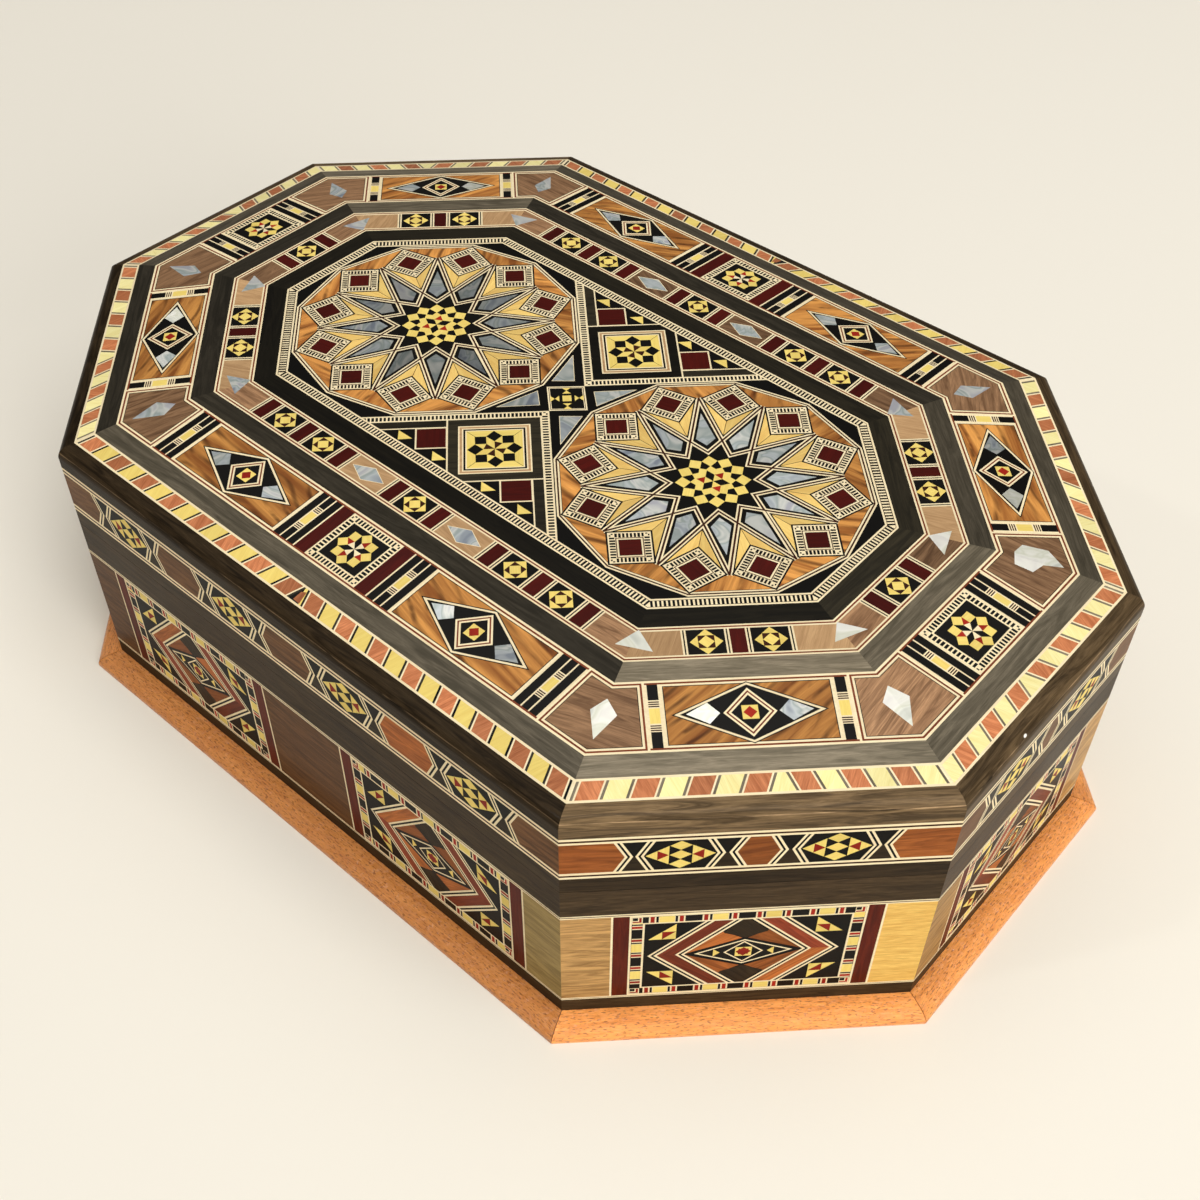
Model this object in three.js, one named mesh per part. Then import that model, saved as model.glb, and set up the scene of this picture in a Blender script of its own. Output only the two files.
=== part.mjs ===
import * as THREE from 'three';

// Octagonal jewellery box with a lift-off lid, in millimetres, +Z up.
// The origin is the middle of the underside.

// Outside of the walls: a rectangle with its four corners cut at 45 degrees
const wallLength = 238.8;
const wallWidth = 160.8;
const cornerCut = 48.6;
const wallThick = 8;

// Heights, from the floor up
const boxHeight = 44.2;
const lidSideHeight = 16;
const lidTopThick = 8.3;
const bottomThick = 5;

// Beech moulding round the foot of the walls
const mouldingOut = 5.6;
const mouldingHeight = 2.6;
const mouldingFoot = 0.6;
const mouldingStep = 0.7;

// Tongue on the inner edge of the box walls, which keeps the lid in place
const tongueHeight = 3;
const tongueThick = 3;
const tongueGap = 0.4;

// Lid top: flat in the middle, then two gentle slopes, then a rounded edge
const flatInset = 27;
const bevelInset = 12.1;
const flatDrop = 1.3;
const bevelDrop = 3.8;
const edgeRadius = 2.5;
const edgeSteps = 6;

const woods = {
  walnut: new THREE.MeshStandardMaterial({ color: 0x4a3f33, roughness: 0.35, metalness: 0 }),
  inlay: new THREE.MeshStandardMaterial({ color: 0x8a6a48, roughness: 0.35, metalness: 0 }),
  beech: new THREE.MeshStandardMaterial({ color: 0xc97a48, roughness: 0.35, metalness: 0 }),
  plain: new THREE.MeshStandardMaterial({ color: 0xb08a60, roughness: 0.7, metalness: 0 }),
};

// The sides go round anticlockwise seen from above, each from its own corner to the next one
const sides = ['front', 'front_right', 'right', 'back_right', 'back', 'back_left', 'left', 'front_left'];

// The eight corners of the wall's outline, moved outwards by out (inwards where it is negative)
function octagon(out) {
  const x = wallLength / 2 + out;
  const y = wallWidth / 2 + out;
  const cut = cornerCut + (2 - Math.SQRT2) * out;
  return [
    [-x + cut, -y], [x - cut, -y], [x, -y + cut], [x, y - cut],
    [x - cut, y], [-x + cut, y], [-x, y - cut], [-x, -y + cut],
  ];
}

// A closed solid from rings of points that all have the same number of points, with flat end faces
function solidFromRings(rings, cap) {
  const size = rings[0].length;
  const points = rings.flat();
  const faces = [];
  for (let r = 0; r + 1 < rings.length; r += 1) {
    for (let i = 0; i < size; i += 1) {
      const j = (i + 1) % size;
      const [a, b, c, d] = [r * size + i, r * size + j, (r + 1) * size + j, (r + 1) * size + i];
      faces.push(a, b, c, a, c, d);
    }
  }
  const last = (rings.length - 1) * size;
  for (const [a, b, c] of THREE.ShapeUtils.triangulateShape(cap.map(([u, v]) => new THREE.Vector2(u, v)), [])) {
    faces.push(a, c, b);
    faces.push(last + a, last + b, last + c);
  }
  const geometry = new THREE.BufferGeometry();
  geometry.setAttribute('position', new THREE.Float32BufferAttribute(points.flat(), 3));
  geometry.setIndex(faces);
  const flat = geometry.toNonIndexed();
  flat.computeVertexNormals();
  return flat;
}

// One mitred length along a side. The profile is a list of [out, height] points that goes round
// anticlockwise, with out to the right and height upwards.
function mitredLength(side, profile) {
  const ring = (corner) => profile.map(([out, height]) => {
    const [x, y] = octagon(out)[corner];
    return [x, y, height];
  });
  return solidFromRings([ring((side + 1) % sides.length), ring(side)], profile);
}

// An octagonal board built up from [out, height] levels, lowest first
function octagonalBoard(levels) {
  const rings = levels.map(([out, height]) => octagon(out).map(([x, y]) => [x, y, height]));
  return solidFromRings(rings, octagon(levels[0][0]));
}

function quarterArc(from, to, steps, place) {
  return Array.from({ length: steps + 1 }, (_, i) => place(from + ((to - from) * i) / steps));
}

const lidBase = boxHeight;
const lidTopBase = lidBase + lidSideHeight;
const lidTopHeight = lidTopBase + lidTopThick;

// Box wall: full thickness up to the seam, with the tongue above its inner edge
const wallProfile = [
  [0, 0],
  [0, boxHeight],
  [tongueThick - wallThick, boxHeight],
  [tongueThick - wallThick, boxHeight + tongueHeight],
  [-wallThick, boxHeight + tongueHeight],
  [-wallThick, 0],
];

// Lid side: rebated at the bottom of its inner face, over the tongue
const rebate = tongueThick - wallThick + tongueGap;
const lidSideProfile = [
  [0, lidBase],
  [0, lidTopBase],
  [-wallThick, lidTopBase],
  [-wallThick, lidBase + tongueHeight + tongueGap],
  [rebate, lidBase + tongueHeight + tongueGap],
  [rebate, lidBase],
];

// Moulding: a low square foot, then a quarter round up to a narrow flat against the wall
const mouldingProfile = [
  [0, 0],
  [mouldingOut, 0],
  ...quarterArc(0, Math.PI / 2, 8, (angle) => [
    mouldingStep + (mouldingOut - mouldingStep) * Math.cos(angle),
    mouldingFoot + (mouldingHeight - mouldingFoot) * Math.sin(angle),
  ]),
  [0, mouldingHeight],
];

// Lid top: the rounded edge touches the wall's line and the outer slope, which would meet bevelDrop
// below the top if the edge were sharp
const slope = Math.atan((bevelDrop - flatDrop) / bevelInset);
const edgeCentre = lidTopHeight - bevelDrop + edgeRadius * (Math.tan(slope) - 1 / Math.cos(slope));
const lidTopLevels = [
  [0, lidTopBase],
  ...quarterArc(0, Math.PI / 2 - slope, edgeSteps, (angle) => [
    edgeRadius * (Math.cos(angle) - 1),
    edgeCentre + edgeRadius * Math.sin(angle),
  ]),
  [-bevelInset, lidTopHeight - flatDrop],
  [-flatInset, lidTopHeight],
];

const group = new THREE.Group();
function add(name, geometry, material) {
  const mesh = new THREE.Mesh(geometry, material);
  mesh.name = name;
  group.add(mesh);
}

sides.forEach((name, side) => {
  add(`box_wall_${name}`, mitredLength(side, wallProfile), woods.inlay);
  add(`base_moulding_${name}`, mitredLength(side, mouldingProfile), woods.beech);
  add(`lid_side_${name}`, mitredLength(side, lidSideProfile), woods.inlay);
});
add('box_bottom', octagonalBoard([[-wallThick, 0], [-wallThick, bottomThick]]), woods.plain);
add('lid_top', octagonalBoard(lidTopLevels), woods.walnut);

export default group;
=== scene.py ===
"""An octagonal jewellery box with a lift-off lid, covered in marquetry with shell inlay."""
import math
import random

import bpy
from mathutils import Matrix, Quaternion, Vector
from mathutils.geometry import delaunay_2d_cdt


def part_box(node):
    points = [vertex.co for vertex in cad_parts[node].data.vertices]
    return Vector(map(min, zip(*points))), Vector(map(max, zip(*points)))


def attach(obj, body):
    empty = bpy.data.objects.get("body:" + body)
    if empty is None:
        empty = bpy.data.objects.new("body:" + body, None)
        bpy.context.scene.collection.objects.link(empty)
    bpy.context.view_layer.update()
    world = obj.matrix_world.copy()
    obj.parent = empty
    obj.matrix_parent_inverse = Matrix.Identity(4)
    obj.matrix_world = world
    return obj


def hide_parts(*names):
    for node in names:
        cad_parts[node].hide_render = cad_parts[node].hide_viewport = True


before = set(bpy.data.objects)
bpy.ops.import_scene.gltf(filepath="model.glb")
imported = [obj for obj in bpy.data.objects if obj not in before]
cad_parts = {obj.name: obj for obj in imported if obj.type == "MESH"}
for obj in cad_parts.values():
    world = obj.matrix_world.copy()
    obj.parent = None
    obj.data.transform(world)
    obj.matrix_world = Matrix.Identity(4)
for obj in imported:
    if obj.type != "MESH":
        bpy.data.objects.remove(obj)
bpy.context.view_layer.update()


# Bottom board
# One plain board between the walls, flush with their lower edges. It is left smooth and matt,
# as the inside of the box is.
MM = 0.001


def linear(red, green, blue):
    """A colour as the eye names it, 0 to 255, turned into the light it gives back."""
    shares = [value / 255 for value in (red, green, blue)]
    return [((share + 0.055) / 1.055) ** 2.4 if share > 0.04 else share / 12.92 for share in shares] + [1]


def wire(node, inputs):
    """Gives each input of a node a value, or a link from another node's output."""
    for socket, value in inputs.items():
        if isinstance(value, bpy.types.NodeSocket):
            node.id_data.links.new(value, node.inputs[socket])
        else:
            node.inputs[socket].default_value = value


def add_node(tree, kind, inputs, **settings):
    """Adds a node with its settings and inputs, and gives back its outputs."""
    node = tree.nodes.new(kind)
    for setting, value in settings.items():
        setattr(node, setting, value)
    wire(node, inputs)
    return node.outputs


def new_material(name):
    """A new material, its nodes, its shader, and the Grain map, which is in mm."""
    material = bpy.data.materials.new(name)
    material.use_nodes = True
    tree = material.node_tree
    grain = add_node(tree, "ShaderNodeUVMap", {}, uv_map="Grain")["UV"]
    return material, tree, tree.nodes["Principled BSDF"], grain


def toned(tree, colour, varied):
    """The colour, made lighter or darker by the tone of each piece."""
    tone = add_node(tree, "ShaderNodeAttribute", {}, attribute_name="Tone")["Fac"]
    lift = add_node(tree, "ShaderNodeMath", {0: tone, 1: varied, 2: 1}, operation="MULTIPLY_ADD")["Value"]
    return add_node(tree, "ShaderNodeHueSaturation", {"Value": lift, "Color": colour})["Color"]


def timber(name, pale, deep, fibre=0.5, figure=0.5, figure_size=1.0, varied=0.12,
           veins=0, flecks=0, gloss=True):
    """A wood with fine fibres, a broader figure and, on some, dark veins or short flecks, all along
    the Grain map."""
    material, tree, shader, grain = new_material(name)
    pale, deep = linear(*pale), linear(*deep)
    pore_shade, vein_colour, fleck_colour = [0.25, 0.2, 0.16, 1], linear(70, 36, 16), linear(112, 58, 34)

    def streaks(along, across, detail, twist=0):
        """Noise, by how often it changes in a millimetre along the grain and across it."""
        stretched = add_node(tree, "ShaderNodeMapping", {"Vector": grain, "Scale": (along, across, 1)})
        return add_node(tree, "ShaderNodeTexNoise", {
            "Vector": stretched["Vector"], "Scale": 1, "Detail": detail, "Roughness": 0.62,
            "Distortion": twist,
        }, noise_dimensions="2D")["Fac"]

    def spread(value, low, high):
        """What lies between low and high, spread over the whole way from 0 to 1."""
        return add_node(tree, "ShaderNodeMapRange", {
            "Value": value, "From Min": low, "From Max": high,
        })["Result"]

    def times(value, factor):
        return add_node(tree, "ShaderNodeMath", {0: value, 1: factor}, operation="MULTIPLY")["Value"]

    def blend(share, first, second, kind="MIX"):
        return add_node(tree, "ShaderNodeMix", {"Factor": share, "A": first, "B": second},
                        data_type="RGBA", blend_type=kind)["Result"]

    fine = spread(streaks(0.35, 5.5, detail=4), 0.3, 0.7)
    broad = spread(streaks(0.05 / figure_size, 0.55 / figure_size, detail=3, twist=1.6), 0.32, 0.68)
    pores = spread(streaks(0.22, 9, detail=2), 0.58, 0.68)
    colour = blend(times(broad, figure), pale, deep)
    colour = blend(times(fine, fibre * 0.6), colour, deep)
    colour = blend(times(pores, fibre * 0.35), colour, pore_shade, "MULTIPLY")
    if veins:
        rings = add_node(tree, "ShaderNodeTexWave", {
            "Vector": grain, "Scale": 0.11, "Distortion": 20, "Detail": 2, "Detail Scale": 0.22,
        }, bands_direction="Y")["Fac"]
        fading = spread(streaks(0.05, 0.12, detail=2, twist=1.5), 0.38, 0.6)
        colour = blend(times(times(spread(rings, 0.6, 1.0), fading), veins), colour, vein_colour)
    if flecks:
        spots = spread(streaks(0.8, 3.6, detail=1), 0.6, 0.68)
        colour = blend(times(spots, flecks), colour, fleck_colour)
    patches = spread(streaks(0.02, 0.02, detail=5), 0.2, 0.8)
    rough = add_node(tree, "ShaderNodeMath", {0: patches, 1: 0.12, 2: 0.3 if gloss else 0.6},
                     operation="MULTIPLY_ADD")["Value"]
    raised = add_node(tree, "ShaderNodeBump", {"Strength": 0.15, "Distance": 0.00004, "Height": fine})
    wire(shader, {
        "Base Color": toned(tree, colour, varied), "Roughness": rough, "Normal": raised["Normal"],
        "Coat Weight": 0.05 if gloss else 0, "Coat Roughness": 0.1, "Specular IOR Level": 0.03,
    })
    return material


woods = {"plain": timber("plain_beech_board", (205, 165, 120), (160, 118, 78), gloss=False)}
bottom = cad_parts["box_bottom"]
grain_map = bottom.data.uv_layers.new(name="Grain")
for loop in bottom.data.loops:
    spot = bottom.data.vertices[loop.vertex_index].co / MM
    grain_map.data[loop.index].uv = (spot.x, spot.y + spot.z)
bottom.data.materials.clear()
bottom.data.materials.append(woods["plain"])


# Wall boards
# Eight mitred boards make the box, with a low tongue on the inner edge of their tops, and eight
# shorter ones the lid's sides, rebated over it. Plain wood, set back for the veneer on the outside.
_, lid_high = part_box("lid_top")
HALF_LENGTH, HALF_WIDTH = lid_high.x / MM, lid_high.y / MM
CORNER_CUT = HALF_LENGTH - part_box("box_wall_front")[1].x / MM
SEAM, LID_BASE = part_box("lid_side_front")[0].z / MM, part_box("lid_top")[0].z / MM
TONGUE_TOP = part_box("box_wall_front")[1].z / MM
WALL_THICK, TONGUE_THICK, TONGUE_GAP = 8, 3, 0.4
VENEER = 0.5
MITRE = math.tan(math.radians(22.5))
SIDES = ["front", "front_right", "right", "back_right", "back", "back_left", "left", "front_left"]
hand = random.Random(11)


def anywhere():
    """A random place in the grain, in mm, for a piece to be cut from."""
    return hand.uniform(0, 400), hand.uniform(0, 400)


def octagon(inset):
    """The eight corners of the plan, in mm, anticlockwise from the front side's left end."""
    x, y = HALF_LENGTH - inset, HALF_WIDTH - inset
    cut = CORNER_CUT - (2 - math.sqrt(2)) * inset
    return [(-x + cut, -y), (x - cut, -y), (x, -y + cut), (x, y - cut),
            (x - cut, y), (-x + cut, y), (-x, y - cut), (-x, -y + cut)]


def side_line(side):
    """Where a side's middle is, which way it runs and which way it faces, and half its length."""
    a, b = Vector(octagon(0)[side]), Vector(octagon(0)[(side + 1) % 8])
    along = (b - a).normalized()
    return (a + b) / 2, along, Vector((along.y, -along.x)), (b - a).length / 2


def set_tones(mesh, tones):
    """How light each face's piece is, from -1 to 1: the wood's own tone, on the lid's dark bands also a
    painted sheen, and on the medallions' shell a painted reflection.
    """
    layer = mesh.attributes.new("Tone", "FLOAT", "FACE")
    layer.data.foreach_set("value", tones)


def put_in_place(name, mesh):
    piece = bpy.data.objects.new(name, mesh)
    bpy.context.collection.objects.link(piece)
    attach(piece, "root")
    return piece


def mitred_length(name, side, profile, wood, joint=0, tone=0):
    """A length along one side, mitred at both ends, from a profile of insets and heights that
    goes round anticlockwise with the outside to the right. A joint leaves a gap at each end."""
    count = len(profile)
    middle, along, _, _ = side_line(side)
    points = []
    for corner, way in ((side + 1, -1), (side, 1)):
        for inset, height in profile:
            spot = Vector(octagon(inset)[corner % 8]) + along * way * joint
            points.append((spot.x * MM, spot.y * MM, height * MM))
    faces = [[i, (i + 1) % count, count + (i + 1) % count, count + i] for i in range(count)]
    faces += [list(range(count))[::-1], list(range(count, 2 * count))]
    mesh = bpy.data.meshes.new(name)
    mesh.from_pydata(points, [], faces)
    reach = [0]
    for a, b in zip(profile, profile[1:] + profile[:1]):
        reach.append(reach[-1] + math.dist(a, b))
    grain_map = mesh.uv_layers.new(name="Grain")
    shift = anywhere()
    for number, face in enumerate(mesh.polygons):
        for corner, index in enumerate(face.loop_indices):
            spot = mesh.vertices[mesh.loops[index].vertex_index].co / MM
            across = reach[number + (corner in (1, 2))] if number < count else spot.z
            grain_map.data[index].uv = ((spot.xy - middle).dot(along) + shift[0], across + shift[1])
    set_tones(mesh, [tone] * len(faces))
    mesh.materials.append(wood)
    return put_in_place(name, mesh)


inner_edge, rebate_top = WALL_THICK - TONGUE_THICK, TONGUE_TOP + TONGUE_GAP
wall_profile = [(VENEER, 0), (VENEER, SEAM), (inner_edge, SEAM), (inner_edge, TONGUE_TOP),
                (WALL_THICK, TONGUE_TOP), (WALL_THICK, 0)]
lid_side_profile = [(VENEER, SEAM), (VENEER, LID_BASE), (WALL_THICK, LID_BASE), (WALL_THICK, rebate_top),
                    (inner_edge - TONGUE_GAP, rebate_top), (inner_edge - TONGUE_GAP, SEAM)]
for side, name in enumerate(SIDES):
    wall = mitred_length(f"wall_board_{name}", side, wall_profile, woods["plain"])
    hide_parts(f"box_wall_{name}")
    lid_side = mitred_length(f"lid_side_board_{name}", side, lid_side_profile, woods["plain"])
    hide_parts(f"lid_side_{name}")


# Wall marquetry
# Veneer glued on each wall: a dark band at the seam, then plain panels and mahogany bars beside
# framed inlays of black, mahogany chevrons and small lemon and red pieces, and a dark foot.
def signed_area(shape):
    return sum(a[0] * b[1] - b[0] * a[1] for a, b in zip(shape, shape[1:] + shape[:1])) / 2


def lay(tiles, wood, shape, grain=None, tone=None, spot=None):
    """Lets one piece of wood in: what lies under it is cut away. The grain is in degrees."""
    shape = [tuple(p) for p in shape]
    if signed_area(shape) < 0:
        shape.reverse()
    if grain is None:
        a, b = max(zip(shape, shape[1:] + shape[:1]), key=lambda edge: math.dist(*edge))
        grain = math.degrees(math.atan2(b[1] - a[1], b[0] - a[0]))
    if tone is None:
        tone = hand.uniform(-1, 1)
    if spot is None:
        spot = anywhere()
    tiles.append((shape, wood, math.radians(grain), tone, spot))


def inner(shape, distance):
    """The same outline with each edge moved inwards."""
    if signed_area(shape) < 0:
        shape = shape[::-1]
    count, moved = len(shape), []
    for i in range(count):
        before, here, after = (Vector(shape[(i + step) % count]) for step in (-1, 0, 1))
        first, second = (here - before).normalized(), (after - here).normalized()
        first_in, second_in = Vector((-first.y, first.x)), Vector((-second.y, second.x))
        moved.append(tuple(here + (first_in + second_in) * distance / (1 + first_in.dot(second_in))))
    return moved


def nest(tiles, shape, *layers, **how):
    """Lays outlines one inside the other: each layer is a wood and how much of it shows."""
    for wood, width in layers:
        lay(tiles, wood, shape, **how)
        shape = inner(shape, width)
    return shape


def oblong(start, low, end, high):
    left, right = sorted((start, end))
    return [(left, low), (right, low), (right, high), (left, high)]


def square_at(x, y, half):
    return oblong(x - half, y - half, x + half, y + half)


def beside(a, b, start, end, low, high):
    """A piece beside the line from a to b: from where to where along it, and how far to its left."""
    a, b = Vector(a), Vector(b)
    along = (b - a).normalized()
    return [a + along * x + Vector((-along.y, along.x)) * y for x, y in oblong(start, low, end, high)]


def diamond(x, y, half_run, half_rise):
    return [(x - half_run, y), (x, y - half_rise), (x + half_run, y), (x, y + half_rise)]


# How the sheets are cut up: into whole, valid faces, with points this close in mm taken as one
WHOLE_FACES, CUT_TOLERANCE = 4, 0.002
# Where a sheet's front, back and rims lie on its flat map: left, low, width and height
FLAT_FRONT, FLAT_BACK = (0.005, 0.055, 0.99, 0.94), (0.045, 0.005, -0.04, 0.04)
FLAT_RIMS = (0.06, 0.01, 0.93, 0.03)


def cut_sheet(name, outline, tiles, place):
    """Makes one flush sheet of veneer inside an outline, with the last piece laid on top. A piece
    of no wood leaves a hole."""
    points, rings = [], []
    for shape in [outline] + [tile[0] for tile in tiles]:
        rings.append(list(range(len(points), len(points) + len(shape))))
        points += [Vector(p) for p in shape]
    cut, _, faces, _, _, owners = delaunay_2d_cdt(points, [], rings, WHOLE_FACES, CUT_TOLERANCE)
    kept = [(face, max(owner) - 1) for face, owner in zip(faces, owners)
            if 0 in owner and max(owner) > 0 and tiles[max(owner) - 1][1]]
    count = len(cut)
    corners = [place(x, y, depth) * MM for depth in (0, VENEER) for x, y in cut]
    edges = {(a, b) for face, _ in kept for a, b in zip(face, face[1:] + face[:1])}
    rims = sorted((a, b) for a, b in edges if (b, a) not in edges)
    solid = [face for face, _ in kept]
    solid += [[v + count for v in reversed(face)] for face, _ in kept]
    solid += [[b, a, a + count, b + count] for a, b in rims]
    origin = [tile for _, tile in kept] * 2 + [kept[0][1]] * len(rims)
    used = sorted({v for face in solid for v in face})
    renumber = {old: new for new, old in enumerate(used)}
    mesh = bpy.data.meshes.new(name)
    mesh.from_pydata([corners[v] for v in used], [], [[renumber[v] for v in face] for face in solid])
    names = sorted({tiles[tile][1] for tile in origin})
    for wood in names:
        mesh.materials.append(woods[wood])
    low = [min(cut[v % count][axis] for v in used) for axis in (0, 1)]
    high = [max(cut[v % count][axis] for v in used) for axis in (0, 1)]
    grain_map = mesh.uv_layers.new(name="Grain")
    flat_map = mesh.uv_layers.new(name="OFBake")
    grain_uv, flat_uv = [], []
    for number, (face, tile) in enumerate(zip(solid, origin)):
        _, wood, turn, _, spot = tiles[tile]
        for corner, v in enumerate(face):
            x, y = cut[v % count]
            depth = VENEER if v >= count else 0
            grain_uv += [x * math.cos(turn) + y * math.sin(turn) + spot[0],
                         y * math.cos(turn) - x * math.sin(turn) + spot[1] + depth]
            right, up = ((cut[v % count][axis] - low[axis]) / (high[axis] - low[axis]) for axis in (0, 1))
            area = FLAT_FRONT if number < len(kept) else FLAT_BACK
            if number >= 2 * len(kept):
                area, up = FLAT_RIMS, corner < 2
                right = (number - 2 * len(kept) + (0.1 if corner in (1, 2) else 0.9)) / len(rims)
            flat_uv += [area[0] + area[2] * right, area[1] + area[3] * up]
    grain_map.data.foreach_set("uv", grain_uv)
    flat_map.data.foreach_set("uv", flat_uv)
    mesh.polygons.foreach_set("material_index", [names.index(tiles[tile][1]) for tile in origin])
    set_tones(mesh, [tiles[tile][3] for tile in origin])
    mesh.update()
    return put_in_place(name, mesh)


def wall_place(side):
    """Turns a distance along a side and a height into a point on the wall's face."""
    middle, along, out, half = side_line(side)

    def place(run, height, depth):
        spot = middle + along * run * (1 - depth * MITRE / half) - out * depth
        return Vector((spot.x, spot.y, height))
    return place


def cut_wall_sheet(name, side, low, high, tiles):
    """Cuts one side's sheet between two heights. A long side's is cut in two halves."""
    half = side_line(side)[3]
    spans = [(-half, half)] if side % 4 else [(-half, 0), (0, half)]
    for number, (start, end) in enumerate(spans):
        part = f"{name}_{SIDES[side]}" + (f"_{number + 1}" if len(spans) > 1 else "")
        cut_sheet(part, oblong(start, low, end, high), tiles, wall_place(side))


woods["dark_walnut"] = timber("dark_walnut", (78, 61, 40), (32, 24, 15), fibre=0.75, figure=0.7, varied=0.4)
woods["cream"] = timber("cream_line", (248, 232, 192), (216, 188, 138), fibre=0.35, figure=0.3, varied=0.05)
woods["lemon"] = timber("lemon_wood", (240, 216, 122), (218, 182, 84), fibre=0.3, figure=0.4, varied=0.08)
woods["black"] = timber("black_stained_wood", (17, 15, 12), (9, 8, 7), fibre=0.4, figure=0.3, varied=0.25)
woods["red"] = timber("red_stained_wood", (166, 40, 24), (118, 22, 14), fibre=0.3, figure=0.3, varied=0.25)
woods["brown"] = timber("brown_stained_wood", (62, 30, 17), (38, 18, 10), fibre=0.4, figure=0.3, varied=0.15)
woods["mahogany"] = timber("mahogany", (118, 40, 22), (62, 18, 11), fibre=0.5, figure=0.6, varied=0.3)
woods["red_walnut"] = timber("red_walnut", (148, 66, 40), (86, 32, 20), fibre=0.5, figure=0.6, varied=0.4)
woods["orange_walnut"] = timber("orange_walnut", (190, 110, 52), (108, 54, 24), fibre=0.5, figure=0.7,
                                varied=0.4)
woods["grey_walnut"] = timber("grey_walnut", (212, 166, 104), (116, 84, 46), fibre=0.6, figure=0.75,
                              varied=0.25)
woods["brown_walnut"] = timber("brown_walnut", (128, 88, 54), (66, 42, 25), fibre=0.6, figure=0.75,
                               varied=0.2)
woods["grey_olive"] = timber("grey_olive_wood", (176, 150, 94), (108, 88, 50), fibre=0.6, figure=0.6,
                             varied=0.15)
woods["honey"] = timber("honey_oak", (255, 216, 120), (198, 132, 54), fibre=0.8, figure=0.45, varied=0.08)

SEAM_GAP = 0.04
DARK_BAND_LOW, FRIEZE_TOP, FRIEZE_FOOT, DARK_FOOT = 36.2, 35.3, 7.3, 6.6
BLOCK_BORDER, BORDER_LINE = 2.8, 0.38
# A dark hairline beside the border's pale line, from where to where
HAIRLINE_START, HAIRLINE_END = 0.02, 0.12
# Where the blocks start, how far they run under the corner squares, and the smallest one cut
BLOCK_START, BLOCK_LAP, SMALLEST_BLOCK = 0.06, 0.5, 0.15
BLOCKS = [("lemon", 2.8), (None, 0.12), ("black", 0.45), (None, 0.3), ("red", 0.75), (None, 0.3),
          ("black", 3.1), (None, 0.3), ("red", 0.75), (None, 0.3), ("black", 0.45), (None, 0.12)]
# The small square at each corner of the border: wood, left, low, right and high from its middle
BORDER_CORNER = [("cream", -0.95, -0.95, 0.95, 0.95), ("black", -0.85, -0.15, 0.1, 0.8),
                 ("red", 0.3, -0.8, 0.75, 0.8), ("red", -0.85, -0.8, 0.3, -0.4)]


def block_border(tiles, shape):
    """A pale border with lemon and black blocks and small red ones along each edge."""
    lay(tiles, "cream", shape)
    lay(tiles, "black", inner(shape, BORDER_LINE + HAIRLINE_START))
    lay(tiles, "cream", inner(shape, BORDER_LINE + HAIRLINE_END))
    period = sum(width for _, width in BLOCKS)
    low, high = BORDER_LINE + BLOCK_START, BLOCK_BORDER - BORDER_LINE
    for a, b in zip(shape, shape[1:] + shape[:1]):
        length = math.dist(a, b)
        reach = BLOCK_BORDER - period * hand.uniform(0.15, 0.85)
        while reach < length - BLOCK_BORDER:
            for wood, width in BLOCKS:
                start = max(reach, BLOCK_BORDER - BLOCK_LAP)
                end = min(reach + width, length - BLOCK_BORDER + BLOCK_LAP)
                if wood and end - start > SMALLEST_BLOCK:
                    lay(tiles, wood, beside(a, b, start, end, low, high))
                reach += width
    for corner in shape:
        x, y = (c + (BLOCK_BORDER / 2 if c == min(s[axis] for s in shape) else -BLOCK_BORDER / 2)
                for axis, c in enumerate(corner))
        for wood, left, low, right, high in BORDER_CORNER:
            lay(tiles, wood, oblong(x + left, y + low, x + right, y + high))


# How steep an inlay's diamonds are, and sizes across them: from the field's edge to the frame, one
# line, the whole frame, and the lines at its outer and inner edge
INLAY_SLOPE = 1.09
FRAME_INSET, FRAME_LINE, FRAME_WIDE, OUTER_LINES, INNER_LINES = 0.95, 0.56, 5.2, 1.75, 1.7
KITE_WAIST, SPLINTER_WAIST = 4.2, 4.35
# Half the length and height of the lozenge and of its heart, and of what lies in the heart
LOZENGE_SIZE, HEART_SIZE = (9.9, 4.6), (3.75, 3.65)
HEART_SQUARE, HEART_DIAMOND, HEART_CORE = 1.55, 1.5, 0.95
LOZENGE_TIPS = [(5.7, -1.25), (4.45, 0), (5.7, 1.25)]
TRIANGLE_LEG, TRIANGLES_WIDE, TRIANGLES_HIGH = 2.55, 6, 5.5


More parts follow.
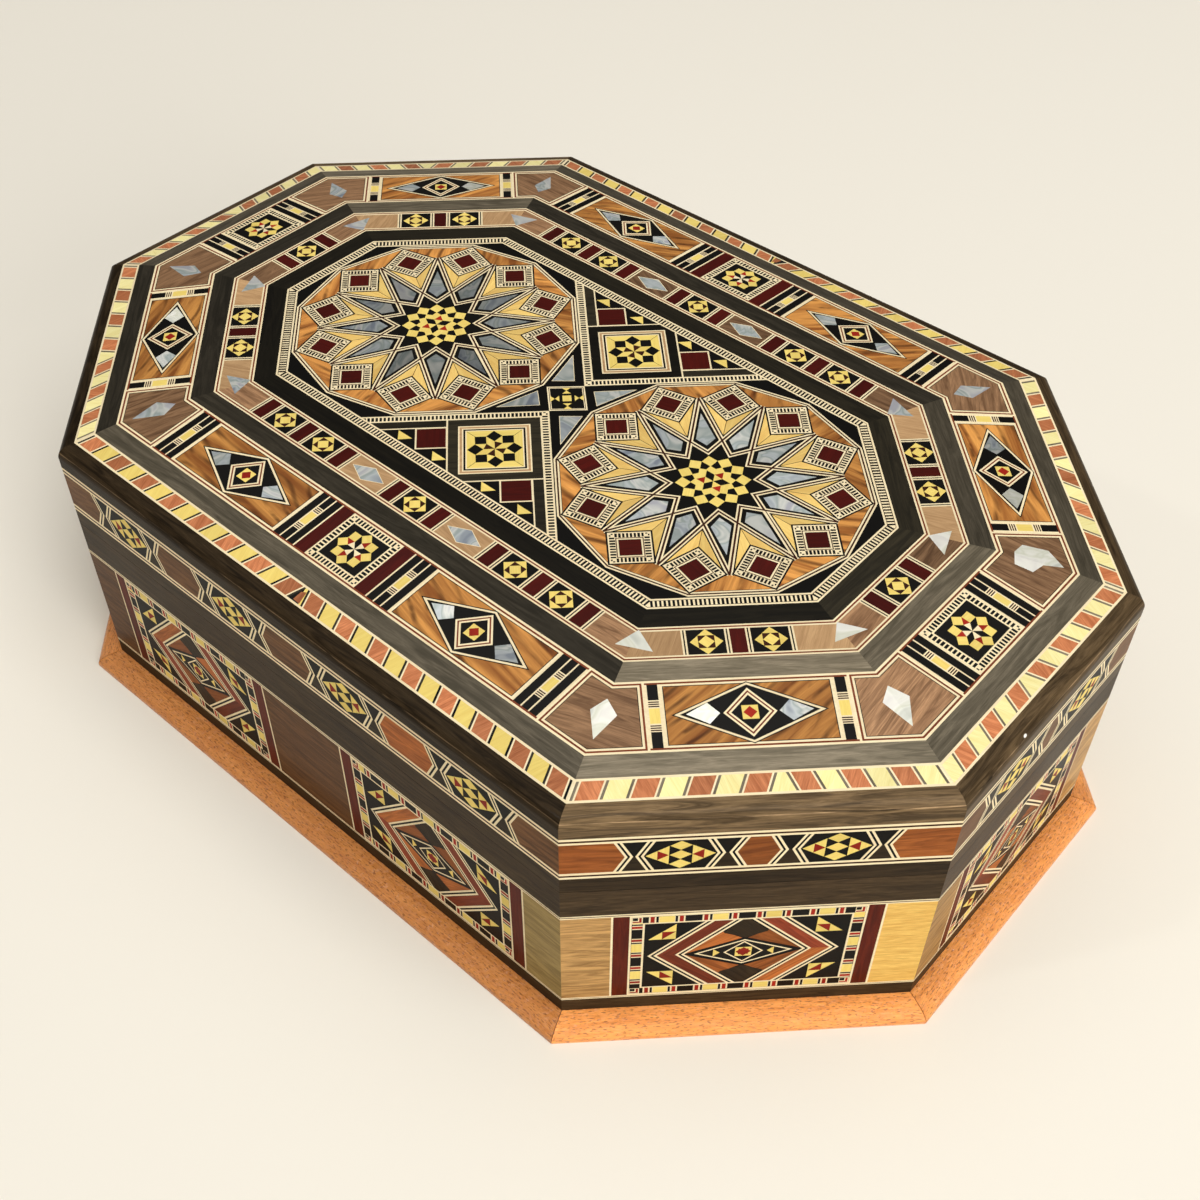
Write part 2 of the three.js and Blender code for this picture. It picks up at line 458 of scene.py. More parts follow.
def inlay(tiles, middle, run, low, high):
    """A framed inlay: a mahogany chevron frame round a lozenge, and small triangles in the corners."""
    shape = oblong(middle - run / 2, low, middle + run / 2, high)
    block_border(tiles, shape)
    field = inner(shape, BLOCK_BORDER)
    for wood in ("black", "cream"):
        lay(tiles, wood, inner(field, -BORDER_LINE))
    lay(tiles, "black", field, grain=0, tone=-0.5)
    centre_x, centre_y = middle + hand.uniform(-0.2, 0.2), (low + high) / 2
    field_half, rise = run / 2 - BLOCK_BORDER, (high - low) / 2 - BLOCK_BORDER

    def about(across, up, *spots):
        """Points from the middle, mirrored where across or up is -1."""
        return [(centre_x + across * x, centre_y + up * y) for x, y in spots]

    def chevron(half_run):
        """The part of a diamond that lies within the field's top and bottom."""
        cut, top = max(half_run - rise / INLAY_SLOPE, 0.01), min(rise, half_run * INLAY_SLOPE)
        return about(1, 1, (-half_run, 0), (-cut, -top), (cut, -top), (half_run, 0), (cut, top), (-cut, top))

    def lined_chevron(half_run):
        """A pale, a dark and a pale line round the frame or the lozenge."""
        for number, wood in enumerate(("cream", "black", "cream")):
            lay(tiles, wood, chevron(half_run - number * FRAME_LINE))

    outer = field_half - FRAME_INSET
    lined_chevron(outer)
    left_tip, left_foot, right_foot, right_tip = chevron(outer - OUTER_LINES)[:4]
    orange_quarter = hand.randrange(4)
    for number, (across, up) in enumerate(((-1, 1), (-1, -1), (1, -1), (1, 1))):
        tip, foot = (left_tip, left_foot) if across < 0 else (right_tip, right_foot)
        edge = centre_y + up * rise
        wood = "orange_walnut" if number == orange_quarter and hand.random() < 0.6 else "red_walnut"
        lay(tiles, wood, [(centre_x, centre_y), tip, (foot[0], edge), (centre_x, edge)],
            grain=up * across * -47)
    inside = outer - FRAME_WIDE
    lined_chevron(inside)
    lay(tiles, "black", chevron(inside - INNER_LINES))
    reach = (inside - INNER_LINES) * 0.98
    waist = (SPLINTER_WAIST, (reach - SPLINTER_WAIST) * INLAY_SLOPE + 0.25)
    for across in (-1, 1):
        for up in (-1, 1):
            splinter = about(across, up, (reach, 0.25), waist, (0.5, 4.85))
            lay(tiles, "orange_walnut", splinter, grain=across * up * -35)
    reach = inside - 2
    tip = max(reach - rise / INLAY_SLOPE, 0.01)
    shoulder, top = min(6.9, (reach - KITE_WAIST) * INLAY_SLOPE), min(rise, reach * INLAY_SLOPE)
    for up in (-1, 1):
        kite = about(1, up, (0, 4.95), (KITE_WAIST, shoulder), (tip, top), (-tip, top),
                     (-KITE_WAIST, shoulder))
        lay(tiles, "dark_walnut", kite, tone=-1)
    nest(tiles, diamond(centre_x, centre_y, *LOZENGE_SIZE), ("black", 0.28), ("cream", 0.34), ("black", 0))
    nest(tiles, diamond(centre_x, centre_y, *HEART_SIZE), ("cream", 0.3), ("black", 0))
    lay(tiles, "lemon", square_at(centre_x, centre_y, HEART_SQUARE))
    lay(tiles, "red", diamond(centre_x, centre_y, HEART_DIAMOND, HEART_DIAMOND), tone=-1)
    lay(tiles, "red", square_at(centre_x, centre_y, HEART_CORE), tone=-1)
    for across in (-1, 1):
        lay(tiles, "lemon", about(across, 1, *LOZENGE_TIPS))
        for up in (-1, 1):
            def corner(*spots):
                """Points from the inner corner of a corner triangle, outwards and away from the middle."""
                return about(across, up, *[(field_half - TRIANGLES_WIDE + x, rise - TRIANGLES_HIGH + y)
                                           for x, y in spots])
            leg = TRIANGLE_LEG
            lay(tiles, "lemon", corner((leg, 0), (2 * leg, 0), (leg, leg)))
            lay(tiles, "lemon", corner((0, leg), (leg, leg), (0, 2 * leg)))
            lay(tiles, "lemon", corner((0, 0), (leg, 0), (0, leg)), tone=-0.9)
            lay(tiles, "red", corner((leg, 0.06), (leg - 0.06, leg - 0.06), (0.06, leg)), tone=-1)


# The plain wood at each side's left end, in the middle of a long side, and at its right end
plain_woods = {0: ("brown_walnut", "brown_walnut", "grey_olive"), 1: ("grey_walnut", None, "honey"),
               2: ("grey_walnut", None, "grey_walnut"), 3: ("honey", None, "orange_walnut"),
               4: ("grey_olive", "grey_walnut", "orange_walnut"), 5: ("grey_walnut", None, "grey_olive"),
               6: ("orange_walnut", None, "grey_walnut"), 7: ("grey_olive", None, "honey")}
# How wide the end panel, the mahogany bar and the pale line beside it are, by the kind of side
END_WIDTHS = {0: (9.2, 3.0, 0.4), 1: (9.2, 3.0, 0.4), 2: (8.4, 2.4, 0.35), 3: (9.2, 3.0, 0.4)}
MIDDLE_PANEL = 11.6
# The pale line below the dark band, and the dark line in it and in the one above the dark foot
BAND_PALE_LINE, BAND_DARK_LOW, BAND_DARK_HIGH = 0.9, 0.56, 0.34
FOOT_DARK_LOW, FOOT_DARK_HIGH = 0.26, 0.4


def parted_line(tiles, half, low, high, dark_low, dark_high):
    """A pale line along a whole side, with a fine dark one in it."""
    lay(tiles, "cream", oblong(-half, low, half, high))
    lay(tiles, "brown", oblong(-half, dark_low, half, dark_high))


for side in range(8):
    half = side_line(side)[3]
    tiles = []
    lay(tiles, "dark_walnut", oblong(-half, 0, half, SEAM), grain=0)
    parted_line(tiles, half, DARK_BAND_LOW - BAND_PALE_LINE, DARK_BAND_LOW,
                DARK_BAND_LOW - BAND_DARK_LOW, DARK_BAND_LOW - BAND_DARK_HIGH)
    lay(tiles, "dark_walnut", oblong(-half, 0, half, DARK_FOOT), grain=0)
    parted_line(tiles, half, DARK_FOOT, FRIEZE_FOOT, DARK_FOOT + FOOT_DARK_LOW, DARK_FOOT + FOOT_DARK_HIGH)
    end_panel, bar, line = END_WIDTHS[side % 4]
    for way, wood in zip((-1, 1), plain_woods[side][::2]):
        lay(tiles, wood, oblong(way * half, FRIEZE_FOOT, way * (half - end_panel), FRIEZE_TOP), grain=0)
    inlays = [(end_panel - half, half - end_panel)]
    if side % 4 == 0:
        inlays = [(end_panel - half, -MIDDLE_PANEL), (MIDDLE_PANEL, half - end_panel)]
        lay(tiles, plain_woods[side][1], oblong(-MIDDLE_PANEL, FRIEZE_FOOT, MIDDLE_PANEL, FRIEZE_TOP),
            grain=0)
    for start, end in inlays:
        lay(tiles, "cream", oblong(start, FRIEZE_FOOT, end, FRIEZE_TOP))
        lay(tiles, "mahogany", oblong(start + line, FRIEZE_FOOT, end - line, FRIEZE_TOP), grain=90, tone=-0.8)
        inlay(tiles, (start + end) / 2, end - start - 2 * (line + bar), FRIEZE_FOOT, FRIEZE_TOP)
    cut_wall_sheet("wall_veneer", side, 0, SEAM - SEAM_GAP, tiles)


# Marquetry of the lid's sides
# A row of six-sided panels between pale and dark lines. Black ones hold a lozenge of small lemon,
# black and red triangles, and plain walnut ones stand between them. A dark band runs below.
LID_ROW_LOW, LID_ROW_HIGH = 50.0, 58.5
TRIPLE_LINE, TRIPLE_DARK_LOW, TRIPLE_DARK_HIGH = 1.7, 0.58, 0.62
LOZENGE_HALF, PANEL_TIP, TIP_SLANT, TIP_GAP = 6.05, 7.8, 0.46, 0.45
ROW_MIDDLE, ROW_RISE = (LID_ROW_LOW + LID_ROW_HIGH) / 2, (LID_ROW_HIGH - LID_ROW_LOW) / 2
# The lines at a panel's slanted ends, by where each starts, and where the panel itself does
PANEL_LINES, PANEL_START = (("cream", 0), ("black", 0.5), ("cream", 0.95)), 1.45


def six_sided(left, right):
    """A panel between two tips, as high as the row."""
    cut = ROW_RISE * TIP_SLANT
    low, high = ROW_MIDDLE - ROW_RISE, ROW_MIDDLE + ROW_RISE
    return [(left, ROW_MIDDLE), (left + cut, low), (right - cut, low),
            (right, ROW_MIDDLE), (right - cut, high), (left + cut, high)]


def lined_panel(tiles, left, right, wood, **how):
    """A panel with a pale, a dark and a pale line at each slanted end."""
    for line_wood, step in PANEL_LINES:
        lay(tiles, line_wood, six_sided(left + step, right - step))
    lay(tiles, wood, six_sided(left + PANEL_START, right - PANEL_START), **how)


def lozenge_panel(tiles, middle):
    """A black panel with a lozenge of nine small diamonds, whole in the middle and split beside it."""
    lined_panel(tiles, middle - PANEL_TIP, middle + PANEL_TIP, "black")
    run, rise = LOZENGE_HALF / 3, (ROW_RISE - 0.15) / 3
    for across, up in ((0, 0), (0, 2), (0, -2), (1, 1), (1, -1), (-1, 1), (-1, -1), (2, 0), (-2, 0)):
        x, y = middle + across * run, ROW_MIDDLE + up * rise
        left, right = (x - run, y), (x + run, y)
        low, high = (x, y - rise), (x, y + rise)
        if across == 0:
            lay(tiles, "lemon", inner([left, low, right, high], 0.05))
            continue
        outer, inside = (left, right) if across < 0 else (right, left)
        lay(tiles, "lemon", [outer, low, high], tone=hand.uniform(-0.5, 0.6))
        if abs(across) == 2:
            lay(tiles, "red", [inside, low, high], tone=-0.9)


lozenge_places = {0: (16.6, 49.8), 1: (13.4,), 2: (12.6,), 3: (13.4,)}
PAST_CORNER = 12
for side in range(8):
    half = side_line(side)[3]
    tiles = []
    lay(tiles, "dark_walnut", oblong(-half, SEAM, half, LID_ROW_LOW), grain=0)
    for low, high in ((LID_ROW_LOW - TRIPLE_LINE, LID_ROW_LOW), (LID_ROW_HIGH, LID_ROW_HIGH + TRIPLE_LINE)):
        parted_line(tiles, half, low, high, low + TRIPLE_DARK_LOW, high - TRIPLE_DARK_HIGH)
    lay(tiles, "black", oblong(-half, LID_ROW_LOW, half, LID_ROW_HIGH))
    lay(tiles, "dark_walnut", oblong(-half, LID_ROW_LOW, half, ROW_MIDDLE), tone=-1)
    places = sorted(way * place for place in lozenge_places[side % 4] for way in (-1, 1))
    starts = [-half - PAST_CORNER] + [place + PANEL_TIP + TIP_GAP for place in places]
    ends = [place - PANEL_TIP - TIP_GAP for place in places] + [half + PAST_CORNER]
    for number, (start, end) in enumerate(zip(starts, ends)):
        wood = "orange_walnut" if side % 2 or (side % 4 == 0 and number == 3) else "brown_walnut"
        lined_panel(tiles, start, end, wood, grain=hand.uniform(-8, 8),
                    tone=-0.9 if side % 2 and number == 1 else hand.uniform(-0.5, 0.6))
    for place in places:
        lozenge_panel(tiles, place + hand.uniform(-0.15, 0.15))
    cut_wall_sheet("lid_side_veneer", side, SEAM + SEAM_GAP, LID_BASE, tiles)


# Base moulding
# Eight lengths of beech quarter round, mitred at the corners and glued round the foot of the
# walls, under a thick, uneven gloss varnish. The grain shows short dark flecks.
moulding_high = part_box("base_moulding_right")[1]
MOULDING_OUT, MOULDING_HEIGHT = HALF_LENGTH - moulding_high.x / MM, moulding_high.z / MM
MOULDING_FOOT, MOULDING_STEP = 0.6, 0.7
MOULDING_JOINT = 0.07
ARC_STEPS = 24
moulding_tones = {0: -0.9, 1: 1.0, 2: 0.2, 3: -0.3, 4: 0.1, 5: 0.4, 6: -0.2, 7: -0.5}
woods["beech"] = timber("beech", (250, 168, 88), (190, 106, 50), fibre=0.6, figure=0.5, figure_size=0.8,
                        varied=0.24, flecks=0.6)


def polish(wood, coat, specular):
    """A thicker, glossier varnish on a wood."""
    wire(wood.node_tree.nodes["Principled BSDF"], {"Coat Weight": coat, "Specular IOR Level": specular})


polish(woods["beech"], 0.7, 0.1)
beech_tree = woods["beech"].node_tree
beech_grain = beech_tree.nodes["UV Map"].outputs["UV"]
runs = add_node(beech_tree, "ShaderNodeTexNoise", {"Vector": beech_grain, "Scale": 0.7, "Detail": 3},
                noise_dimensions="2D")["Fac"]
varnish = add_node(beech_tree, "ShaderNodeBump", {"Strength": 1, "Distance": 0.0012, "Height": runs})
wire(beech_tree.nodes["Principled BSDF"], {"Coat Normal": varnish["Normal"]})
moulding_profile = [(0, 0), (MOULDING_OUT, 0)]
for step in range(ARC_STEPS + 1):
    turn = math.pi / 2 * step / ARC_STEPS
    moulding_profile.append((-MOULDING_STEP + (MOULDING_OUT + MOULDING_STEP) * math.cos(turn),
                             MOULDING_FOOT + (MOULDING_HEIGHT - MOULDING_FOOT) * math.sin(turn)))
moulding_profile.append((0, MOULDING_HEIGHT))
for side, name in enumerate(SIDES):
    moulding = mitred_length(f"moulding_{name}", side, moulding_profile, woods["beech"],
                             MOULDING_JOINT, moulding_tones[side])
    moulding.data.shade_smooth()
    moulding.data.set_sharp_from_angle(angle=math.radians(30))
    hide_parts(f"base_moulding_{name}")


# Lid top board
# One board with a flat middle, a border that falls gently outwards and a rounded edge. The edge
# is veneered in dark walnut, with a lighter line along its arris that is partly wear and partly a
# painted highlight, and one white chip at the right end, and the middle is sunk by the thickness of
# the marquetry laid on it.
LID_TOP = lid_high.z / MM
FLAT_INSET, BEVEL_INSET, TILE_INSET = 27.0, 12.1, 3.6
FLAT_DROP, BEVEL_DROP, EDGE_RADIUS, EDGE_STEPS = 1.3, 3.8, 2.5, 16
# Which ring of faces is the arris, worn and with a painted highlight, and how far the grain moves on from
# side to side
WORN_AND_HIGHLIT_RING, RIM_SHIFT = 7, (40, 30)
rim_tones = {0: -0.85, 1: 0.85, 2: -0.1, 3: -0.5, 4: -0.8, 5: 0.3, 6: -0.4, 7: -0.9}


def lid_height(inset):
    if inset >= FLAT_INSET:
        return LID_TOP
    if inset >= BEVEL_INSET:
        return LID_TOP - FLAT_DROP * (FLAT_INSET - inset) / (FLAT_INSET - BEVEL_INSET)
    return LID_TOP - FLAT_DROP - (BEVEL_DROP - FLAT_DROP) * (1 - inset / BEVEL_INSET)


def octagonal_rings(name, levels, wood):
    """A solid of octagonal rings, each an inset and a height, lowest first, with level ends."""
    points = [(x * MM, y * MM, z * MM) for inset, z in levels for x, y in octagon(inset)]
    faces, sides = [list(range(7, -1, -1))], [None]
    for ring in range(len(levels) - 1):
        for side in range(8):
            here, following = ring * 8 + side, ring * 8 + (side + 1) % 8
            faces.append([here, following, following + 8, here + 8])
            sides.append(side)
    faces.append([(len(levels) - 1) * 8 + corner for corner in range(8)])
    sides.append(None)
    mesh = bpy.data.meshes.new(name)
    mesh.from_pydata(points, [], faces)
    grain_map = mesh.uv_layers.new(name="Grain")
    for face, side in zip(mesh.polygons, sides):
        for index in face.loop_indices:
            spot = mesh.vertices[mesh.loops[index].vertex_index].co / MM
            if side is None:
                grain_map.data[index].uv = (spot.x, spot.y)
            else:
                middle, along, out, _ = side_line(side)
                run, inset = (spot.xy - middle).dot(along), -(spot.xy - middle).dot(out)
                grain_map.data[index].uv = (run + RIM_SHIFT[0] * side, spot.z + inset + RIM_SHIFT[1] * side)
    set_tones(mesh, [rim_tones.get(side, 0) for side in sides])
    mesh.materials.append(wood)
    mesh.materials.append(woods["worn_and_highlit_edge"])
    for face in mesh.polygons:
        face.material_index = face.index - 1 in range(8 * WORN_AND_HIGHLIT_RING, 8 * WORN_AND_HIGHLIT_RING + 8)
    return put_in_place(name, mesh)


for name in ("cream", "lemon", "black", "red", "brown"):
    woods[name] = woods[name].copy()
    woods[name].name = f"{name}_of_the_lid"
    polish(woods[name], 0.12, 0.1)
# The arris ring's lighter colour is partly wear and partly a painted highlight.
woods["worn_and_highlit_edge"] = timber("worn_and_highlit_edge", (168, 138, 102), (30, 24, 17), fibre=0.9, figure=1.0, varied=0.6)
woods["rim"] = timber("worn_walnut_rim", (112, 91, 64), (44, 34, 22), fibre=0.75, figure=0.8, varied=0.8)
fall = math.atan((BEVEL_DROP - FLAT_DROP) / BEVEL_INSET)
edge_centre = LID_TOP - BEVEL_DROP + EDGE_RADIUS * (math.tan(fall) - 1 / math.cos(fall))
lid_levels = [(0, LID_BASE)]
for step in range(EDGE_STEPS + 1):
    turn = (math.pi / 2 - fall) * step / EDGE_STEPS
    lid_levels.append((EDGE_RADIUS * (1 - math.cos(turn)), edge_centre + EDGE_RADIUS * math.sin(turn)))
lid_levels += [
    (TILE_INSET, lid_height(TILE_INSET)),
    (TILE_INSET, lid_height(TILE_INSET) - VENEER),
    (BEVEL_INSET, lid_height(BEVEL_INSET) - VENEER),
    (FLAT_INSET, LID_TOP - VENEER),
]
CHIP_RUN, CHIP_INSET, CHIP_SIZE = -12.1, 0.6, 0.55
chip_turn = math.acos(1 - CHIP_INSET / EDGE_RADIUS)
chip_height = edge_centre + EDGE_RADIUS * math.sin(chip_turn)
chip_spot = (CHIP_RUN + 2 * RIM_SHIFT[0], chip_height + CHIP_INSET + 2 * RIM_SHIFT[1], 0)
rim_tree = woods["rim"].node_tree
rim_nodes = rim_tree.nodes
away = add_node(rim_tree, "ShaderNodeVectorMath", {0: rim_nodes["UV Map"].outputs["UV"], 1: chip_spot},
                operation="DISTANCE")["Value"]
inside_chip = add_node(rim_tree, "ShaderNodeMapRange", {
    "Value": away, "From Min": CHIP_SIZE, "From Max": CHIP_SIZE * 0.6,
})["Result"]
whole = rim_nodes["Hue/Saturation/Value"].outputs["Color"]
chipped = add_node(rim_tree, "ShaderNodeMix", {"Factor": inside_chip, "A": whole, "B": linear(246, 240, 226)},
                   data_type="RGBA")["Result"]
wire(rim_nodes["Principled BSDF"], {"Base Color": chipped})
lid_board = octagonal_rings("lid_top_board", lid_levels, woods["rim"])
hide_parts("lid_top")


# Lid border of slanted tiles
# A dark band, then slanted tiles of lemon wood and pear between two pale lines, with a dark bar
# and a pale line at each joint. The slant turns over at the middle of each side.
def lid_side_place(side):
    """Turns a distance along a side and an inset into a point on the lid's face."""
    middle, along, out, _ = side_line(side)

    def place(run, inset, depth):
        spot = middle + along * run - out * inset
        return Vector((spot.x, spot.y, lid_height(inset) - depth))
    return place


def cut_lid_strip(name, side, outer, inside, tiles):
    """Cuts a mitred strip of the lid, between two insets. A long side is cut in two halves."""
    half = side_line(side)[3]
    spans = [(-1, 1)] if side % 4 else [(-1, 0), (0, 1)]
    for number, (start, end) in enumerate(spans):
        outline = [(start * (half - outer * MITRE), outer), (end * (half - outer * MITRE), outer),
                   (end * (half - inside * MITRE), inside), (start * (half - inside * MITRE), inside)]
        part = f"{name}_{SIDES[side]}" + (f"_{number + 1}" if len(spans) > 1 else "")
        cut_sheet(part, outline, tiles, lid_side_place(side))


woods["pear"] = timber("pear_tile", (214, 138, 92), (146, 76, 42), fibre=0.8, figure=0.6, varied=0.25)
woods["pale_lemon"] = timber("pale_lemon_wood", (250, 240, 176), (226, 204, 116), fibre=0.4, figure=0.4,
                             varied=0.12)
# The dark band's tones range widely, as they carry a painted sheen as well as the wood's own tone.
woods["band"] = timber("dark_band", (118, 108, 90), (64, 58, 45), fibre=0.7, figure=0.75, varied=0.85)
for name in ("pear", "pale_lemon", "band"):
    polish(woods[name], 0.12, 0.1)
TILE_BAND_INSIDE, TILE_LINE = 7.9, 0.45
TILE_BAR, TILE_GAP = 0.5, 0.35
TILE_LOW, TILE_HIGH = TILE_INSET + TILE_LINE, TILE_BAND_INSIDE - TILE_LINE
LEAN = (TILE_BAND_INSIDE - TILE_INSET - 2 * TILE_LINE) * MITRE
CORNER_TILE_GAP = 0.35
# How far a half's first tile runs under the other half, where no bar parts them
TILE_LAP = 4
# Right and left of the middle: where the first tile starts, how many fit, whether it is pear, and
# whether a bar parts it from the other half
tile_rows = {0: ((2.55, 15, True, True), (2.55, 15, True, True)),
             1: ((2.5, 7, False, False), (-0.85, 7, True, True)),
             2: ((0.9, 7, True, True), (1.0, 6.6, False, False)),
             3: ((2.5, 7, False, False), (-0.85, 7, True, True))}
# Each side's tone of the dark band outside the frieze: the wood's own tone with a painted sheen, lightest on
# the front right chamfer and darkest on the front left one.
outer_band_tone_and_sheen = {0: -0.2, 1: 0.9, 2: 0.0, 3: -0.5, 4: -0.6, 5: 0.3, 6: -0.4, 7: -0.9}


def slanted(way, first, last):
    """A tile or a bar between two places on the border's outer line, leaning to the middle."""
    return [(first * way, TILE_LOW), (last * way, TILE_LOW),
            ((last - LEAN) * way, TILE_HIGH), ((first - LEAN) * way, TILE_HIGH)]


for side in range(8):
    half = side_line(side)[3]
    tiles = []
    lay(tiles, "band", oblong(-half, TILE_BAND_INSIDE, half, BEVEL_INSET), grain=0, tone=outer_band_tone_and_sheen[side])
    lay(tiles, "cream", oblong(-half, TILE_INSET, half, TILE_BAND_INSIDE), grain=0)
    low, high = TILE_LOW, TILE_HIGH
    lemon, bar_tone = ("pale_lemon", 0.8) if side % 4 else ("lemon", -0.9)
    if side % 4 == 0:
        lay(tiles, "lemon", oblong(-3.4, low, 3.4, high))
        lay(tiles, "black", [(-3.4, low), (1.2, low), (0.2, low + 1.2), (-0.4, high), (-3.4, high)])
        lay(tiles, "pear", [(-0.6, low + 0.3), (1.2, low + 0.2), (0.5, high - 0.6), (-0.5, high - 1.1)],
            tone=-1)
    rows = sorted(zip((1, -1), tile_rows[side % 4]), key=lambda row: row[1][3])
    for way, (start, count, is_pear, parted) in rows:
        pitch = (half - low * MITRE - CORNER_TILE_GAP - start) / count
        if parted:
            lay(tiles, "cream", slanted(way, start - TILE_GAP, start))
            lay(tiles, "band", slanted(way, start - TILE_GAP - TILE_BAR, start - TILE_GAP), tone=bar_tone)
        else:
            start -= TILE_LAP
        for number in range(math.ceil(count)):
            end = start + pitch + (0 if number or parted else TILE_LAP)
            joint = end - TILE_BAR - TILE_GAP
            lay(tiles, "cream", slanted(way, start, end))
            lay(tiles, "pear" if is_pear else lemon, slanted(way, start, joint), grain=90 - 22.5 * way)
            bar = (end - TILE_BAR, end) if is_pear else (joint, joint + TILE_BAR)
            lay(tiles, "band", slanted(way, *bar), tone=bar_tone + hand.uniform(-0.3, 0.1))
            start, is_pear = end, not is_pear
    cut_lid_strip("lid_tiles", side, TILE_INSET, BEVEL_INSET, tiles)


# Outer frieze of the lid
# Panels of olive wood with shell lozenges, star squares in a ladder border, and walnut corners
# with a shell kite, parted by black and lemon stripes. All are let in flush between pale lines.
FRIEZE_INSIDE = FLAT_INSET
FRIEZE_LINE, FRIEZE_RED = 0.45, 0.38
FRIEZE_LOW = BEVEL_INSET + FRIEZE_LINE + FRIEZE_RED
FRIEZE_HIGH = FRIEZE_INSIDE - FRIEZE_LINE - FRIEZE_RED
FRIEZE_MIDDLE = (BEVEL_INSET + FRIEZE_INSIDE) / 2
woods["olive"] = timber("olive_wood", (230, 162, 84), (134, 76, 34), fibre=0.35, figure=0.95, figure_size=3,
                       varied=0.2, veins=0.75)
woods["walnut"] = timber("walnut_veneer", (172, 132, 96), (86, 58, 38), fibre=0.65, figure=0.75, varied=0.45)
woods["tan"] = timber("pale_walnut_veneer", (198, 160, 116), (140, 104, 68), fibre=0.5, figure=0.5)
woods["gold"] = timber("golden_wood", (240, 208, 124), (206, 154, 76), fibre=0.35, figure=0.5, varied=0.14)
woods["red_line"] = timber("red_brown_line", (130, 62, 34), (84, 34, 18), fibre=0.4, figure=0.3, varied=0.1)
woods["dark_red"] = timber("dark_red_stained_wood", (80, 17, 11), (38, 8, 5), fibre=0.45, figure=0.4,
                           varied=0.2)
woods["ebony"] = timber("ebonised_band", (44, 39, 28), (18, 16, 11), fibre=0.6, figure=0.7, varied=0.7)
for name in ("olive", "walnut", "tan", "gold", "red_line", "dark_red", "ebony"):
    polish(woods[name], 0.12, 0.1)


def mother_of_pearl(name, *tint_colours):
    """Shell: cloudy layers of five tints under a high gloss."""
    material, tree, shader, grain = new_material(name)
    clouds = add_node(tree, "ShaderNodeTexNoise", {
        "Vector": grain, "Scale": 0.12, "Detail": 2, "Distortion": 1.2,
    }, noise_dimensions="2D")["Fac"]
    tints = tree.nodes.new("ShaderNodeValToRGB")
    wire(tints, {"Fac": clouds})
    stops = tints.color_ramp.elements
    places = (0.28, 0.42, 0.5, 0.6, 0.72)
    stops[0].position, stops[1].position = places[0], places[-1]
    for place in places[1:-1]:
        stops.new(place)
    for stop, tint in zip(stops, tint_colours):
        stop.color = linear(*tint)
    ripples = add_node(tree, "ShaderNodeBump", {"Strength": 0.25, "Distance": 0.0002, "Height": clouds})
    wire(shader, {
        "Base Color": toned(tree, tints.outputs["Color"], 0.4), "Normal": ripples["Normal"],
        "Metallic": 0.25, "Roughness": 0.2, "Coat Weight": 0.8, "Coat Roughness": 0.06,
    })
    return material


woods["shell"] = mother_of_pearl("mother_of_pearl", (138, 146, 156), (190, 196, 196), (160, 170, 166),
                                 (212, 212, 204), (176, 176, 182))
# A whiter copy of the same shell, with a painted glare, for the corners round the right end and one kite of
# each chamfer panel.
woods["white_shell"] = mother_of_pearl("white_shell", (206, 208, 196), (238, 238, 224), (226, 226, 206),
                                       (248, 246, 234), (236, 232, 224))


def polar(centre, *spots):
    """Points given by a radius and an angle in degrees about a centre."""
    x, y = centre
    return [(x + r * math.cos(math.radians(a)), y + r * math.sin(math.radians(a))) for r, a in spots]


RUNG_MARGIN = 0.22


def ladder(tiles, shape, depth, start, pitch):
    """Short black rungs across the pale border of a shape, along all its edges."""
    for a, b in zip(shape, shape[1:] + shape[:1]):
        length, first = math.dist(a, b), start + RUNG_MARGIN
        count = max(1, round((length - 2 * first) / pitch))
        step = (length - 2 * first) / count
        for number in range(count):
            middle, thick = first + (number + 0.5) * step, step * 0.3 * hand.uniform(0.85, 1.15)
            reach = min(middle, length - middle) - thick - 0.05
            if reach > start + 0.1:
                end = min(start + depth, reach)
                lay(tiles, "black", beside(a, b, middle - thick, middle + thick, start, end))


def rosette(tiles, centre, unit, petals, squares, turn=0):
    """An eight-fold star: eight rhombi round the centre and eight squares in its notches. Petals
    are full or split, one colour on the even ones and two, inner and outer, on the odd ones."""
    tip = 2 * unit * math.cos(math.radians(22.5))
    for number in range(8):
        angle = turn + 22.5 + 45 * number
        left, right, point = (unit, angle + 22.5), (unit, angle - 22.5), (tip, angle)
        if number % 2 == 0:
            lay(tiles, petals[0], polar(centre, (0, 0), right, point, left))
        else:
            lay(tiles, petals[1], polar(centre, (0, 0), right, left))
            lay(tiles, petals[2], polar(centre, right, point, left))
        notch = angle + 22.5
        lay(tiles, squares, polar(centre, (unit, notch), (tip, notch - 22.5),
                                  (unit * (1 + math.sqrt(2)), notch), (tip, notch + 22.5)))


STAR_BORDER, STAR_UNIT = 1.9, 1.93


def star_square(tiles, middle, half_run, low, high):
    """A star of lemon wood and black in a square of black, inside a pale ladder border."""
    shape = oblong(middle - half_run, low, middle + half_run, high)
    lay(tiles, "cream", shape)
    ladder(tiles, shape, depth=1.2, start=0.35, pitch=0.86)
    lay(tiles, "black", inner(shape, STAR_BORDER))
    centre = (middle + hand.uniform(-0.15, 0.15), (low + high) / 2 + hand.uniform(-0.1, 0.1))
    turn = hand.choice((0, 0, 45)) + hand.uniform(-1.5, 1.5)
    rosette(tiles, centre, STAR_UNIT, ("black", "cream", "red"), "lemon", turn)


# Where the lemon wood and each tick start along a strip, as shares of its length
STRIP_LINE, STRIP_LEMON, STRIP_TICK = 0.25, 0.38, 0.02
STRIP_TICKS = (0.265, 0.3, 0.335, 0.64, 0.675, 0.71)
# Where the two black bars of a group lie and how wide they and the strip are, as shares of its width
GROUP_BARS, GROUP_BAR_WIDTH, GROUP_STRIP_WIDTH = (0.19, 0.81), 0.27, 0.25


